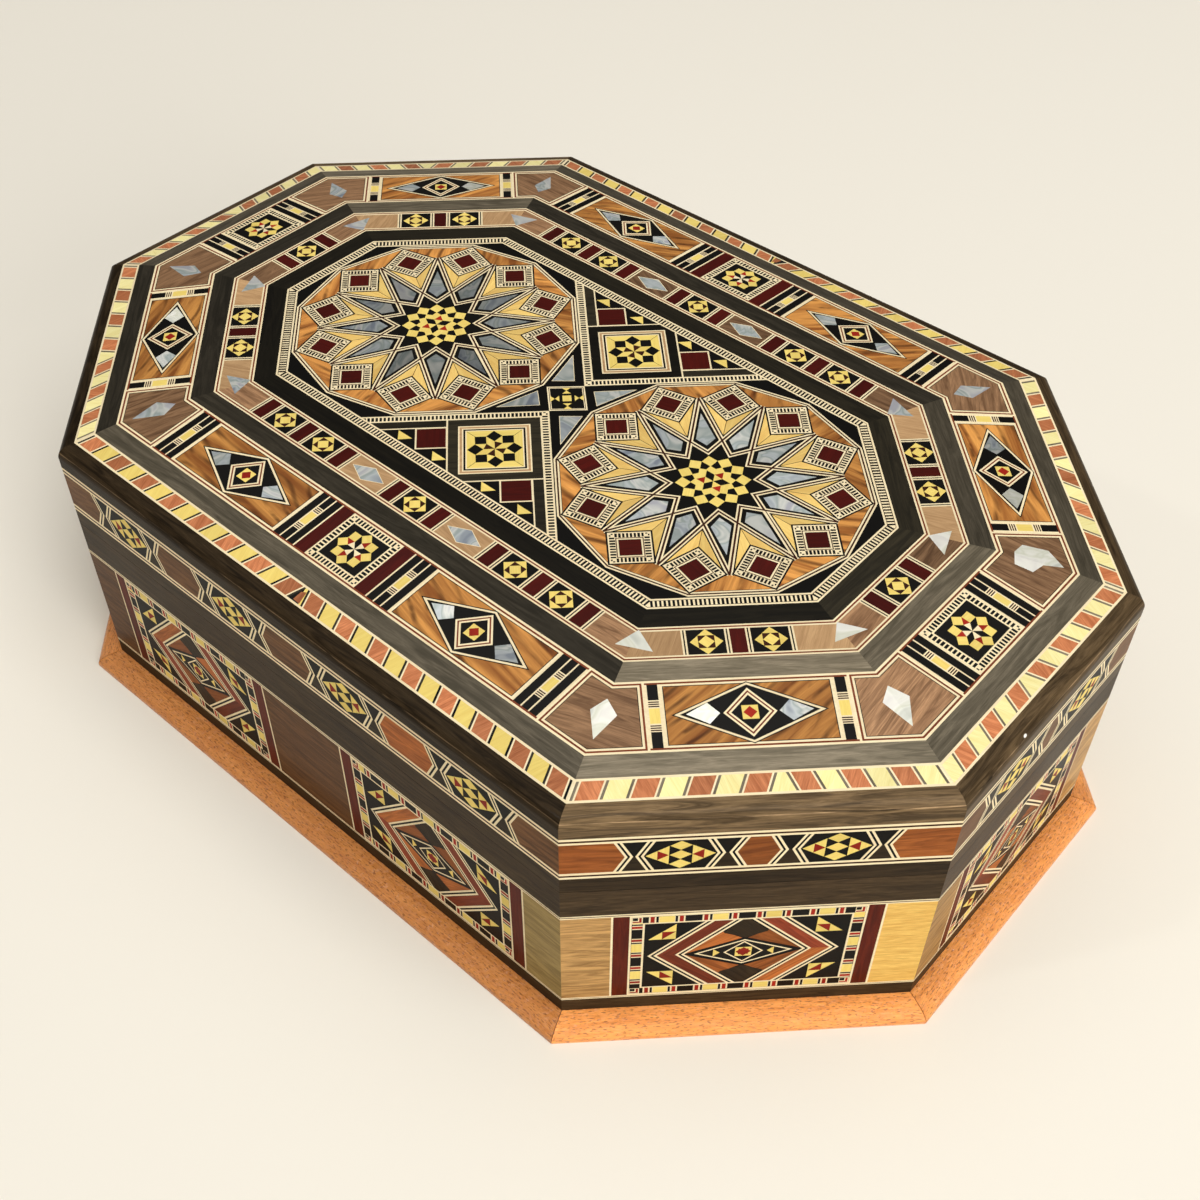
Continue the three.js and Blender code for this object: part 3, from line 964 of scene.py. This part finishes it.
def stripe(tiles, middle, width, low, high):
    """A narrow strip of black, ticks, lemon wood, ticks and black, end to end."""
    rise = high - low
    left, right = middle - width / 2, middle + width / 2
    lay(tiles, "black", oblong(left, low, right, high), grain=90)
    lay(tiles, "cream", oblong(left, low + rise * STRIP_LINE, right, high - rise * STRIP_LINE))
    lay(tiles, "lemon", oblong(left, low + rise * STRIP_LEMON, right, high - rise * STRIP_LEMON), grain=90)
    for tick in STRIP_TICKS:
        lay(tiles, "brown", oblong(left, low + rise * tick, right, low + rise * (tick + STRIP_TICK)))


def stripe_group(tiles, start, end, low, high):
    """Black, pale line, strip, pale line and black, across the frieze."""
    way = 1 if end > start else -1
    width = abs(end - start)
    lay(tiles, "cream", oblong(min(start, end), low, max(start, end), high))
    for share in GROUP_BARS:
        middle = start + way * width * share
        reach = width * GROUP_BAR_WIDTH / 2
        lay(tiles, "black", oblong(middle - reach, low, middle + reach, high), grain=90)
    stripe(tiles, (start + end) / 2, width * GROUP_STRIP_WIDTH, low, high)


SHELL_KITE, KITE_WANDER = [(11.2, 0), (7.2, 2.15), (5.2, 0), (7.2, -2.15)], (0.15, 0.12)
# Half the length and height for which the kites are drawn, and the middle of the lozenge
KITE_LOZENGE, RHOMBUS_SIZE, SQUARE_HALF, RED_SHARE = (13.8, 6.3), (4.9, 5.3), 1.45, 0.85


def lozenge(tiles, middle, level, half_run, half_rise, shells):
    """A lozenge of black with shell kites in its points and a lined rhombus in the middle."""
    inside = nest(tiles, diamond(middle, level, half_run, half_rise),
                  ("black", 0.2), ("cream", 0.42), ("black", 0.1))
    lay(tiles, "black", inside, grain=0)
    for way, shell in zip((-1, 1), shells):
        kite = []
        for x, y in SHELL_KITE:
            x += hand.uniform(-KITE_WANDER[0], KITE_WANDER[0])
            y += hand.uniform(-KITE_WANDER[1], KITE_WANDER[1])
            run, rise = way * x * half_run / KITE_LOZENGE[0], y * half_rise / KITE_LOZENGE[1]
            kite.append((middle + run, level + rise))
        lay(tiles, shell, kite)
    nest(tiles, diamond(middle, level, *RHOMBUS_SIZE), ("black", 0.12), ("cream", 0.36), ("red_line", 0.3),
         ("cream", 0.36), ("black", 0))
    lay(tiles, "lemon", square_at(middle, level, SQUARE_HALF))
    lay(tiles, "red", diamond(middle, level, SQUARE_HALF * RED_SHARE, SQUARE_HALF * RED_SHARE))


def olive_panel(tiles, start, end, half_rise, shells=("shell", "shell")):
    """A panel of olive wood with a lozenge in it."""
    shape = oblong(min(start, end), FRIEZE_LOW, max(start, end), FRIEZE_HIGH)
    inside = nest(tiles, shape, ("cream", 0.42), ("black", 0.16))
    lay(tiles, "olive", inside, grain=hand.uniform(-50, 50))
    lozenge(tiles, (start + end) / 2, FRIEZE_MIDDLE, KITE_LOZENGE[0], half_rise, shells)


def corner_shape(corner, inset, spots, wander=0.25, turned_over=False):
    """Turns points out along a corner's mitre and across it into points of the plan."""
    angle = math.radians(-67.5 + 45 * (corner - 1))
    place, out = Vector(octagon(inset)[corner]), Vector((math.cos(angle), math.sin(angle)))
    across = Vector((-out.y, out.x))
    mirror = -1 if turned_over else 1
    shape = []
    for x, y in spots:
        outwards = out * (x + hand.uniform(-wander, wander))
        shape.append(place + outwards + across * (mirror * y + hand.uniform(-wander, wander)))
    return shape


def on_side(side, shape):
    """Plan points as a distance along a side and an inset."""
    middle, along, out, _ = side_line(side)
    return [((Vector(p) - middle).dot(along), -(Vector(p) - middle).dot(out)) for p in shape]


def lay_at_corner(tiles, side, wood, shape, grain, tone, spot):
    """Lays a piece that crosses the mitre, with its grain running on from one side to the next."""
    middle, _, _, _ = side_line(side)
    turn = math.radians(grain)
    along, across = Vector((math.cos(turn), math.sin(turn))), Vector((-math.sin(turn), math.cos(turn)))
    spot = (spot[0] + middle.dot(along), spot[1] + middle.dot(across))
    lay(tiles, wood, on_side(side, shape), grain - 45 * side, tone, spot)


KITE = [(-4.7, 0.1), (-1.3, 2.4), (4.5, -0.2), (-1.5, -2.4)]
CHIPPED_KITE = [(-4.6, 1.2), (-3.4, 3.6), (1.6, 4.2), (4.9, 0.6), (1.0, -0.4), (-0.6, -2.9), (-4.2, -2.2)]
# The corners whose shell kites take the painted glare.
CHIPPED_CORNER, GLARE_CORNERS = 3, (1, 2, 3)
corner_pieces = []
for corner in range(8):
    spots, wander = (CHIPPED_KITE, 0.1) if corner == CHIPPED_CORNER else (KITE, 0.3)
    kite = corner_shape(corner, FRIEZE_MIDDLE, spots, wander, turned_over=hand.random() < 0.4)
    corner_pieces.append({
        "kite": kite,
        "shell": "white_shell" if corner in GLARE_CORNERS else "shell",
        "grain": {1: 20, 2: 95}.get(corner, hand.uniform(0, 180)),
        "tone": {1: -0.1, 2: 0.9, 3: -0.4}.get(corner, hand.uniform(-0.8, 0.9)),
        "spot": anywhere(),
    })

# Where each kind of side's pieces end, from the middle outwards
STAR_HALF = {0: 7.0, 2: 7.5}
RED_BAR = 3.1
LONG_STRIPES = (10.1, 16.5, 48.0, 54.2)
END_STRIPES = (7.5, 13.6)
CHAMFER_PANEL, CHAMFER_STRIPE = 15.3, 2.7
LONG_LOZENGE_RISE, CHAMFER_LOZENGE_RISE = 6.25, 6.5
# Each side's tone of the dark band inside the frieze: the wood's own tone with a painted sheen, lightest on
# the front right chamfer and darkest on the front, left and back sides.
frieze_band_tone_and_sheen = {0: -0.85, 1: 1.0, 2: 0.1, 3: -0.6, 4: -0.9, 5: 0.0, 6: -0.9, 7: -0.95}
for side in range(8):
    half = side_line(side)[3]
    tiles = []
    lay(tiles, "cream", oblong(-half, BEVEL_INSET, half, FRIEZE_INSIDE), grain=0)
    lay(tiles, "red_line", oblong(-half, BEVEL_INSET + FRIEZE_LINE, half, FRIEZE_INSIDE - FRIEZE_LINE),
        grain=0)
    kind = side % 4
    corner_from = {0: LONG_STRIPES[3], 2: END_STRIPES[1]}.get(kind, CHAMFER_PANEL + CHAMFER_STRIPE)
    lay(tiles, "cream", oblong(-corner_from, FRIEZE_LOW, corner_from, FRIEZE_HIGH), grain=0)
    for way in (-1, 1):
        corner = corner_pieces[side if way < 0 else (side + 1) % 8]
        reach = oblong(corner_from * way, BEVEL_INSET, half * 1.5 * way, FRIEZE_INSIDE)
        inside = nest(tiles, reach, ("cream", FRIEZE_LINE), ("red_line", FRIEZE_RED), ("cream", 0.42),
                      ("black", 0.14))
        middle, along, out, _ = side_line(side)
        lay_at_corner(tiles, side, "walnut", [middle + along * x - out * y for x, y in inside],
                      corner["grain"], corner["tone"], corner["spot"])
        lay_at_corner(tiles, side, corner["shell"], corner["kite"], corner["grain"], 0, corner["spot"])
        if kind == 0:
            bar = oblong(STAR_HALF[0] * way, FRIEZE_LOW, (STAR_HALF[0] + RED_BAR) * way, FRIEZE_HIGH)
            lay(tiles, "dark_red", bar, grain=90)
            stripe_group(tiles, LONG_STRIPES[0] * way, LONG_STRIPES[1] * way, FRIEZE_LOW, FRIEZE_HIGH)
            stripe_group(tiles, LONG_STRIPES[2] * way, LONG_STRIPES[3] * way, FRIEZE_LOW, FRIEZE_HIGH)
            olive_panel(tiles, LONG_STRIPES[1] * way, LONG_STRIPES[2] * way, LONG_LOZENGE_RISE)
        elif kind == 2:
            stripe_group(tiles, END_STRIPES[0] * way, END_STRIPES[1] * way, FRIEZE_LOW, FRIEZE_HIGH)
        else:
            stripe(tiles, (CHAMFER_PANEL + CHAMFER_STRIPE / 2) * way, CHAMFER_STRIPE - 0.8,
                   FRIEZE_LOW, FRIEZE_HIGH)
    if kind in STAR_HALF:
        star_square(tiles, 0, STAR_HALF[kind], FRIEZE_LOW, FRIEZE_HIGH)
    else:
        olive_panel(tiles, -CHAMFER_PANEL, CHAMFER_PANEL, CHAMFER_LOZENGE_RISE, ("white_shell", "shell"))
    cut_lid_strip("lid_frieze", side, BEVEL_INSET, FRIEZE_INSIDE, tiles)


# Inner band of the lid
# A dark band, then small nested squares on black, dark red blocks and walnut panels with shell
# rhombi, between pale and red lines. A shell triangle lies across each corner.
BAND_OUTSIDE, BAND_INSIDE = 31.7, 39.8
BAND_LINE, BAND_RED = 0.36, 0.34
BAND_LOW = BAND_OUTSIDE + 2 * BAND_LINE + BAND_RED
BAND_HIGH = BAND_INSIDE - 2 * BAND_LINE - BAND_RED
BAND_MIDDLE = (BAND_OUTSIDE + BAND_INSIDE) / 2
BAND_GAP = 0.95
LONG_BAND = [("squares", 7.0), ("red", 2.9), ("shell", 10.6), ("red", 3.0), ("squares", 6.9), ("red", 3.0),
             ("squares", 6.9), ("red", 2.9)]
CHAMFER_BAND = [("red", 2.9), ("squares", 7.0)]
END_BAND = [("squares", 7.0), ("red", 2.9)]
# Half the size of each nested square, and of the shell rhombus with its line and without it
OUTER_SQUARE, DARK_SQUARE, CORE_SQUARE = 3.05, 1.53, 1.5
LINED_RHOMBUS, SHELL_RHOMBUS = (4.6, 2.25), (4.35, 2.1)
CORNER_TRIANGLE = [(-3.8, 0.5), (0.2, 4.4), (0.6, -2.6)]
TURNED_CORNERS = (0, 3, 5)
for corner, piece in enumerate(corner_pieces):
    turned_over = corner in TURNED_CORNERS
    piece["triangle"] = corner_shape(corner, BAND_MIDDLE, CORNER_TRIANGLE, turned_over=turned_over)


def nested_squares(tiles, middle, run):
    """Lemon, dark brown and lemon squares, each set across the one outside it, on black."""
    lay(tiles, "black", oblong(middle - run / 2, BAND_LOW, middle + run / 2, BAND_HIGH), grain=90)
    x, y = middle + hand.uniform(-0.1, 0.1), BAND_MIDDLE + hand.uniform(-0.08, 0.08)
    lay(tiles, "lemon", diamond(x, y, OUTER_SQUARE, OUTER_SQUARE))
    lay(tiles, "brown", square_at(x, y, DARK_SQUARE))
    lay(tiles, "lemon", diamond(x, y, CORE_SQUARE, CORE_SQUARE))


for side in range(8):
    half = side_line(side)[3]
    tiles = []
    lay(tiles, "band", oblong(-half, FRIEZE_INSIDE, half, BAND_OUTSIDE), grain=0, tone=frieze_band_tone_and_sheen[side])
    lay(tiles, "cream", oblong(-half, BAND_OUTSIDE, half, BAND_INSIDE), grain=0)
    lay(tiles, "red_line", oblong(-half, BAND_OUTSIDE + BAND_LINE, half, BAND_INSIDE - BAND_LINE), grain=0)
    lay(tiles, "cream", oblong(-half, BAND_LOW - BAND_LINE, half, BAND_HIGH + BAND_LINE), grain=0)
    pattern = {0: LONG_BAND, 2: END_BAND}.get(side % 4, CHAMFER_BAND)
    for way in (-1, 1):
        reach = 0
        for number, (kind, run) in enumerate(pattern):
            middle = 0 if number == 0 else reach + run / 2
            reach = run / 2 if number == 0 else reach + run
            if number or way > 0:
                shape = oblong(middle * way - run / 2, BAND_LOW, middle * way + run / 2, BAND_HIGH)
                if kind == "squares":
                    nested_squares(tiles, middle * way, run)
                elif kind == "red":
                    lay(tiles, "dark_red", shape, grain=90)
                else:
                    lay(tiles, "walnut" if side else "tan", shape, grain=hand.uniform(-25, 25))
                    lay(tiles, "cream", diamond(middle * way, BAND_MIDDLE, *LINED_RHOMBUS))
                    lay(tiles, "shell", diamond(middle * way, BAND_MIDDLE, *SHELL_RHOMBUS), tone=0.2)
            gap_line = (reach + BAND_GAP * 0.36, reach + BAND_GAP * 0.64)
            lay(tiles, "black", oblong(way * gap_line[0], BAND_LOW, way * gap_line[1], BAND_HIGH))
            reach += BAND_GAP
        corner = corner_pieces[side if way < 0 else (side + 1) % 8]
        wood, grain = ("tan", 70) if side % 2 else ("walnut", 5)
        lay(tiles, wood, oblong(way * reach, BAND_LOW, way * half * 1.5, BAND_HIGH), grain=grain)
        lay_at_corner(tiles, side, corner["shell"], corner["triangle"], corner["grain"], 0, corner["spot"])
    cut_lid_strip("lid_band", side, FRIEZE_INSIDE, BAND_INSIDE, tiles)


# Inner border of the lid
# A dark band, then a pale ladder line with close dark rungs round the central field.
LADDER_OUTSIDE, FIELD_INSET = 44.4, 46.9
RUNG_PITCH, RUNG_HALF, RUNG_INSET = 0.82, 0.22, 0.5
inner_tones = {0: -0.8, 1: -0.6, 2: 1.0, 3: 0.4, 4: 0.0, 5: 0.0, 6: -0.5, 7: -0.8}
for side in range(8):
    half = side_line(side)[3]
    tiles = []
    lay(tiles, "ebony", oblong(-half, BAND_INSIDE, half, LADDER_OUTSIDE), grain=0, tone=inner_tones[side])
    lay(tiles, "cream", oblong(-half, LADDER_OUTSIDE, half, FIELD_INSET), grain=0)
    lay(tiles, "brown", oblong(-half, LADDER_OUTSIDE + 0.4, half, LADDER_OUTSIDE + 0.52))
    lay(tiles, "brown", oblong(-half, FIELD_INSET - 0.52, half, FIELD_INSET - 0.4))
    reach = half - LADDER_OUTSIDE * MITRE - 0.6
    count = round(2 * reach / RUNG_PITCH)
    for rung in range(count):
        middle = -reach + 2 * reach * (rung + 0.5) / count
        thick = RUNG_HALF * hand.uniform(0.9, 1.15)
        lay(tiles, "black", oblong(middle - thick, LADDER_OUTSIDE + RUNG_INSET,
                                   middle + thick, FIELD_INSET - RUNG_INSET))
    cut_lid_strip("lid_ladder", side, BAND_INSIDE, FIELD_INSET, tiles)


# Medallions
# Two twelve-sided medallions: a twelve-pointed star of pale and dark lines over lemon wood, with
# shell kites, ladder squares at its points on olive wood, and a mosaic of small squares inside.
MEDALLION_RADIUS, MEDALLION_PLACE = 32.85, 39.6
LINE_LAYERS = (("black", 0.84), ("cream", 0.55), ("brown", 0.21))
# The star's points and notches, where its inner points start, and how far the lines run out
STAR_TIP, STAR_NOTCH, STAR_WAIST, LINE_TIP = 26.4, 8.85, 12.9, 26.6
SQUARE_PLACE, SQUARE_CORNER = 25.65, 6.5
SHELL_TIP, SHELL_SIDE, SHELL_FOOT, SHELL_SPREAD = 21.4, 13.3, 10.9, 8.8
# The mosaic inside: its edge, the twelve squares set on it, and the sides of the six rhombi
MOSAIC_NOTCH, MOSAIC_TIP, MOSAIC_SQUARE_PLACE, MOSAIC_SQUARE = 3.75, 4.63, 6.1, 1.62
CORE_SIDE = 1.99


def stroke(path, half_wide):
    """The outline of a line of some width along a path with mitred bends."""
    left, right = [], []
    for number, point in enumerate(path):
        here = Vector(point)
        before = (here - Vector(path[number - 1])).normalized() if number else None
        after = (Vector(path[number + 1]) - here).normalized() if number + 1 < len(path) else None
        first, second = before or after, after or before
        first_in, second_in = Vector((-first.y, first.x)), Vector((-second.y, second.x))
        shift = (first_in + second_in) * half_wide / (1 + first_in.dot(second_in))
        left.append(tuple(here + shift))
        right.append(tuple(here - shift))
    return right + left[::-1]


def flat_place(x, y, depth):
    return Vector((x, y, LID_TOP - depth))


for name, sign in (("left", -1), ("right", 1)):
    centre = (sign * MEDALLION_PLACE, 0)
    tiles = []
    rim = polar(centre, *[(MEDALLION_RADIUS, 30 * k) for k in range(12)])
    inside = nest(tiles, rim, ("cream", 0.36), ("brown", 0.34), ("cream", 0.36), ("black", 0.12))
    lay(tiles, "olive", inside)
    for k in range(12):
        at = 30 * k
        lay(tiles, "olive", [inside[k], inside[(k + 1) % 12], *polar(centre, (20, at + 15))],
            grain=at + hand.uniform(-60, 60))
    for k in range(12):
        at = 30 * k
        for way in (-1, 1):
            lay(tiles, "gold", polar(centre, (STAR_WAIST, at), (STAR_TIP, at + 15 * way), (26, at)),
                grain=at + 14 * way, tone=hand.uniform(-0.9, 1))
        lay(tiles, "brown", stroke(polar(centre, (STAR_WAIST, at), (26, at)), 0.06))
        lay(tiles, "black", polar(centre, (STAR_TIP, at + 15), (STAR_WAIST, at), (STAR_NOTCH, at + 15),
                                  (STAR_WAIST, at + 30)), grain=at)
        tip = (SHELL_TIP + hand.uniform(-0.4, 0.4), at + 15 + hand.uniform(-0.3, 0.3))
        near, foot = SHELL_SIDE + hand.uniform(-0.2, 0.2), SHELL_FOOT + hand.uniform(-0.2, 0.2)
        # The right medallion's shell is made lighter and the left one's darker: a painted reflection,
        # strongest towards the front right.
        lay(tiles, "shell", polar(centre, tip, (near, at + 15 - SHELL_SPREAD), (foot, at + 15),
                                  (SHELL_SIDE, at + 15 + SHELL_SPREAD)),
            grain=at + 15, tone=(0.2 if sign > 0 else -1.1) + hand.uniform(-0.5, 0.5))
    ground = [spot for k in range(12) for spot in ((STAR_WAIST, 30 * k), (STAR_NOTCH, 30 * k + 15))]
    lay(tiles, "black", polar(centre, *ground))
    for wood, half_wide in LINE_LAYERS:
        for k in range(12):
            at = 30 * k + 15
            path = polar(centre, (LINE_TIP, at - 30), (STAR_NOTCH, at), (LINE_TIP, at + 30))
            lay(tiles, wood, stroke(path, half_wide))
    for k in range(12):
        at = 30 * k
        middle = polar(centre, (SQUARE_PLACE + hand.uniform(-0.12, 0.12), at + hand.uniform(-0.15, 0.15)))[0]
        turn = at + hand.uniform(-1, 1)
        square = polar(middle, *[(SQUARE_CORNER, turn + 90 * corner) for corner in range(4)])
        inside = nest(tiles, square, ("black", 0.36), ("cream", 1.5), ("brown", 0.2), ("cream", 0.34),
                      ("black", 0.12))
        ladder(tiles, inner(square, 0.36), depth=1.16, start=0.28, pitch=0.78)
        lay(tiles, "dark_red", inside, grain=turn + hand.choice((45, 135)))
    core = [spot for k in range(12) for spot in ((MOSAIC_NOTCH, 30 * k), (MOSAIC_TIP, 30 * k + 15))]
    lay(tiles, "lemon", polar(centre, *core), tone=0.3)
    for k in range(12):
        at = 30 * k + 15
        middle = polar(centre, (MOSAIC_SQUARE_PLACE, at))[0]
        lay(tiles, "lemon", polar(middle, *[(MOSAIC_SQUARE, at + 90 * corner) for corner in range(4)]),
            tone=hand.uniform(-0.2, 1))
    point = 2 * CORE_SIDE * math.cos(math.radians(30))
    for k in range(6):
        at = 60 * k + (30 if sign > 0 else 60)
        left, right = (CORE_SIDE, at + 30), (CORE_SIDE, at - 30)
        if k % 2 == 0:
            lay(tiles, "black", polar(centre, (0, 0), right, (point, at), left))
        else:
            lay(tiles, "lemon", polar(centre, (0, 0), right, left))
            lay(tiles, "red", polar(centre, right, (point, at), left))
    cut_sheet(f"lid_medallion_{name}", rim, tiles, flat_place)


# Central field of the lid
# Black ground round the medallions, with a ladder-edged triangle above and below, each holding a
# framed star and two dark red squares. Four shell triangles and a small square lie in the middle.
APEX, WEDGE_RISE = 5.6, 45
STAR_PLACE, STAR_FRAME = 22.05, 14.11
BLOCK_ACROSS, BLOCK_UP, BLOCK_HALF = 12.13, 28.42, 4.75
# Lemon triangles along each wedge's long edge: their places, half their width, foot and tip
TRIANGLE_PLACES, TRIANGLE_HALF, TRIANGLE_FOOT, TRIANGLE_TIP = (7.0, 17.0), 2, 31.1, 33.3
SHELL_TRIANGLE = [(9.0, 11.8), (2.9, 5.5), (6.4, 2.4)]
FIELD_STAR_UNIT = 2.36
SMALL_SQUARE, SMALL_DIAMOND, SMALL_PETAL_PLACE = (5.9, 5.6), 1.35, 2.6
tiles = []
lay(tiles, "black", octagon(FIELD_INSET), grain=0)
for way in (-1, 1):
    def above(shape):
        return [(x, y * way) for x, y in shape]

    wedge = [(0, APEX), (WEDGE_RISE, APEX + WEDGE_RISE), (-WEDGE_RISE, APEX + WEDGE_RISE)]
    inside = nest(tiles, above(wedge), ("cream", 0.36), ("cream", 0))
    ladder(tiles, inside, depth=1.22, start=0.02, pitch=0.84)
    inside = above(inner(wedge, 1.65))
    inside = nest(tiles, inside, ("cream", 0.35), ("black", 0.1), ("ebony", 2.0), ("cream", 0.3), grain=45)
    lay(tiles, "black", inside, grain=0)
    for across in (-1, 1):
        for x in TRIANGLE_PLACES:
            left, right = across * x - TRIANGLE_HALF, across * x + TRIANGLE_HALF
            triangle = [(left, TRIANGLE_FOOT), (right, TRIANGLE_FOOT), (across * x, TRIANGLE_TIP)]
            lay(tiles, "lemon", above(triangle))
        block = diamond(across * BLOCK_ACROSS, BLOCK_UP, BLOCK_HALF, BLOCK_HALF)
        inside = nest(tiles, above(block), ("cream", 0.34))
        lay(tiles, "dark_red", inside, grain=hand.choice((45, 135)))
    square = above(diamond(0, STAR_PLACE, STAR_FRAME, STAR_FRAME))
    square = nest(tiles, square, ("cream", 0.35), ("ebony", 2.1), ("cream", 0.3), ("tan", 0.5),
                  ("cream", 0.28), ("black", 0.42), ("cream", 0.3), grain=45)
    centre = Vector((0, STAR_PLACE * way))
    lay(tiles, "brown", square)
    for number in range(4):
        a, b = Vector(square[number]), Vector(square[(number + 1) % 4])
        pull = ((a + b) / 2 - centre).normalized() * 0.09
        lay(tiles, "lemon", [centre + pull, a + pull * 0.7, b + pull * 0.7], tone=hand.uniform(-0.9, 0.6))
    turn = 45 + hand.uniform(-1, 1)
    rosette(tiles, (0, STAR_PLACE * way), FIELD_STAR_UNIT, ("lemon", "brown", "lemon"), "black", turn)
nest(tiles, diamond(0, 0, *SMALL_SQUARE), ("cream", 0.3), ("brown", 0.16), ("cream", 0.16), ("black", 0))
lay(tiles, "lemon", diamond(0, 0, SMALL_DIAMOND, SMALL_DIAMOND))
for turn in (45, 135, 225, 315):
    spot = polar((0, 0), (SMALL_PETAL_PLACE, turn))[0]
    for way in (turn, turn + 180):
        lay(tiles, "lemon", polar(spot, (0, 0), (SMALL_DIAMOND, way - 45), (SMALL_DIAMOND, way + 45)))
for right in (-1, 1):
    for up in (-1, 1):
        lay(tiles, "cream", [(right * x, up * y) for x, y in inner(SHELL_TRIANGLE, -0.12)])
        lay(tiles, "shell", [(right * x, up * y) for x, y in SHELL_TRIANGLE], tone=hand.uniform(-0.9, 0))
for way in (-1, 1):
    lay(tiles, None, polar((way * MEDALLION_PLACE, 0), *[(MEDALLION_RADIUS, 30 * k) for k in range(12)]))
half_x, half_y = HALF_LENGTH - FIELD_INSET, HALF_WIDTH - FIELD_INSET
cut = CORNER_CUT - (2 - math.sqrt(2)) * FIELD_INSET
quarters = {"front_left": (-1, -1), "front_right": (1, -1), "back_left": (-1, 1), "back_right": (1, 1)}
for name, (x, y) in quarters.items():
    quarter = [(0, 0), (x * half_x, 0), (x * half_x, y * (half_y - cut)), (x * (half_x - cut), y * half_y),
               (0, y * half_y)]
    cut_sheet(f"lid_field_{name}", quarter if x * y > 0 else quarter[::-1], tiles, flat_place)


# Room, light and viewpoint
# A pale floor and soft light from above and from the right, seen from the front right corner.
FLOOR_HALF = 3
floor_mesh = bpy.data.meshes.new("floor")
floor_mesh.from_pydata([(x, y, 0) for x, y in square_at(0, 0, FLOOR_HALF)], [], [(0, 1, 2, 3)])
floor = bpy.data.objects.new("floor", floor_mesh)
bpy.context.collection.objects.link(floor)
pale = bpy.data.materials.new("pale_floor")
pale.use_nodes = True
wire(pale.node_tree.nodes["Principled BSDF"], {"Base Color": linear(238, 232, 219), "Roughness": 0.8})
floor_mesh.materials.append(pale)

world = bpy.data.worlds.new("room")
world.use_nodes = True
sky = world.node_tree
facing = add_node(sky, "ShaderNodeTexCoord", {})["Generated"]
height = add_node(sky, "ShaderNodeSeparateXYZ", {0: facing})["Z"]
ceiling = add_node(sky, "ShaderNodeMapRange", {
    "Value": height, "From Min": 0.66, "From Max": 0.92, "To Min": 0.08, "To Max": 1.3,
})["Result"]
wire(sky.nodes["Background"], {"Strength": ceiling, "Color": (1, 0.98, 0.94, 1)})
bpy.context.scene.world = world
for name, size, place, power in (
    ("overhead", 1.5, (1.2, -0.1, 2.1), 26),
    ("right_window", 1.2, (2.2, -0.5, 0.9), 26),
    ("front_fill", 1.2, (-0.6, -2.2, 1.2), 1.2),
    ("ceiling_lamp", 0.12, (-0.8, -1.45, 1.8), 3),
):
    lamp = bpy.data.lights.new(name, "AREA")
    lamp.size, lamp.energy = size, power
    lamp_object = bpy.data.objects.new(name, lamp)
    lamp_object.location = place
    lamp_object.rotation_mode = "QUATERNION"
    lamp_object.rotation_quaternion = (Vector((0, 0, 0.03)) - Vector(place)).to_track_quat("-Z", "Y")
    bpy.context.collection.objects.link(lamp_object)

CAMERA_PLACE = Vector((0.16996, -0.18541, 0.26919))
CAMERA_AIM = Vector((0.04271, -0.04040, 0.0685))
CAMERA_ROLL = math.radians(0.366)
LENS, SHIFT_X, SHIFT_Y = 44.95, 0.0072, -0.0027
camera_data = bpy.data.cameras.new("camera")
camera_data.lens, camera_data.sensor_width = LENS, 36
camera_data.shift_x, camera_data.shift_y = SHIFT_X, SHIFT_Y
camera_data.clip_start = 0.01
camera = bpy.data.objects.new("camera", camera_data)
camera.location = CAMERA_PLACE
camera.rotation_mode = "QUATERNION"
look = (CAMERA_AIM - CAMERA_PLACE).to_track_quat("-Z", "Y")
camera.rotation_quaternion = look @ Quaternion((0, 0, 1), CAMERA_ROLL)
bpy.context.collection.objects.link(camera)
bpy.context.scene.camera = camera
bpy.context.scene.view_settings.view_transform = "Standard"
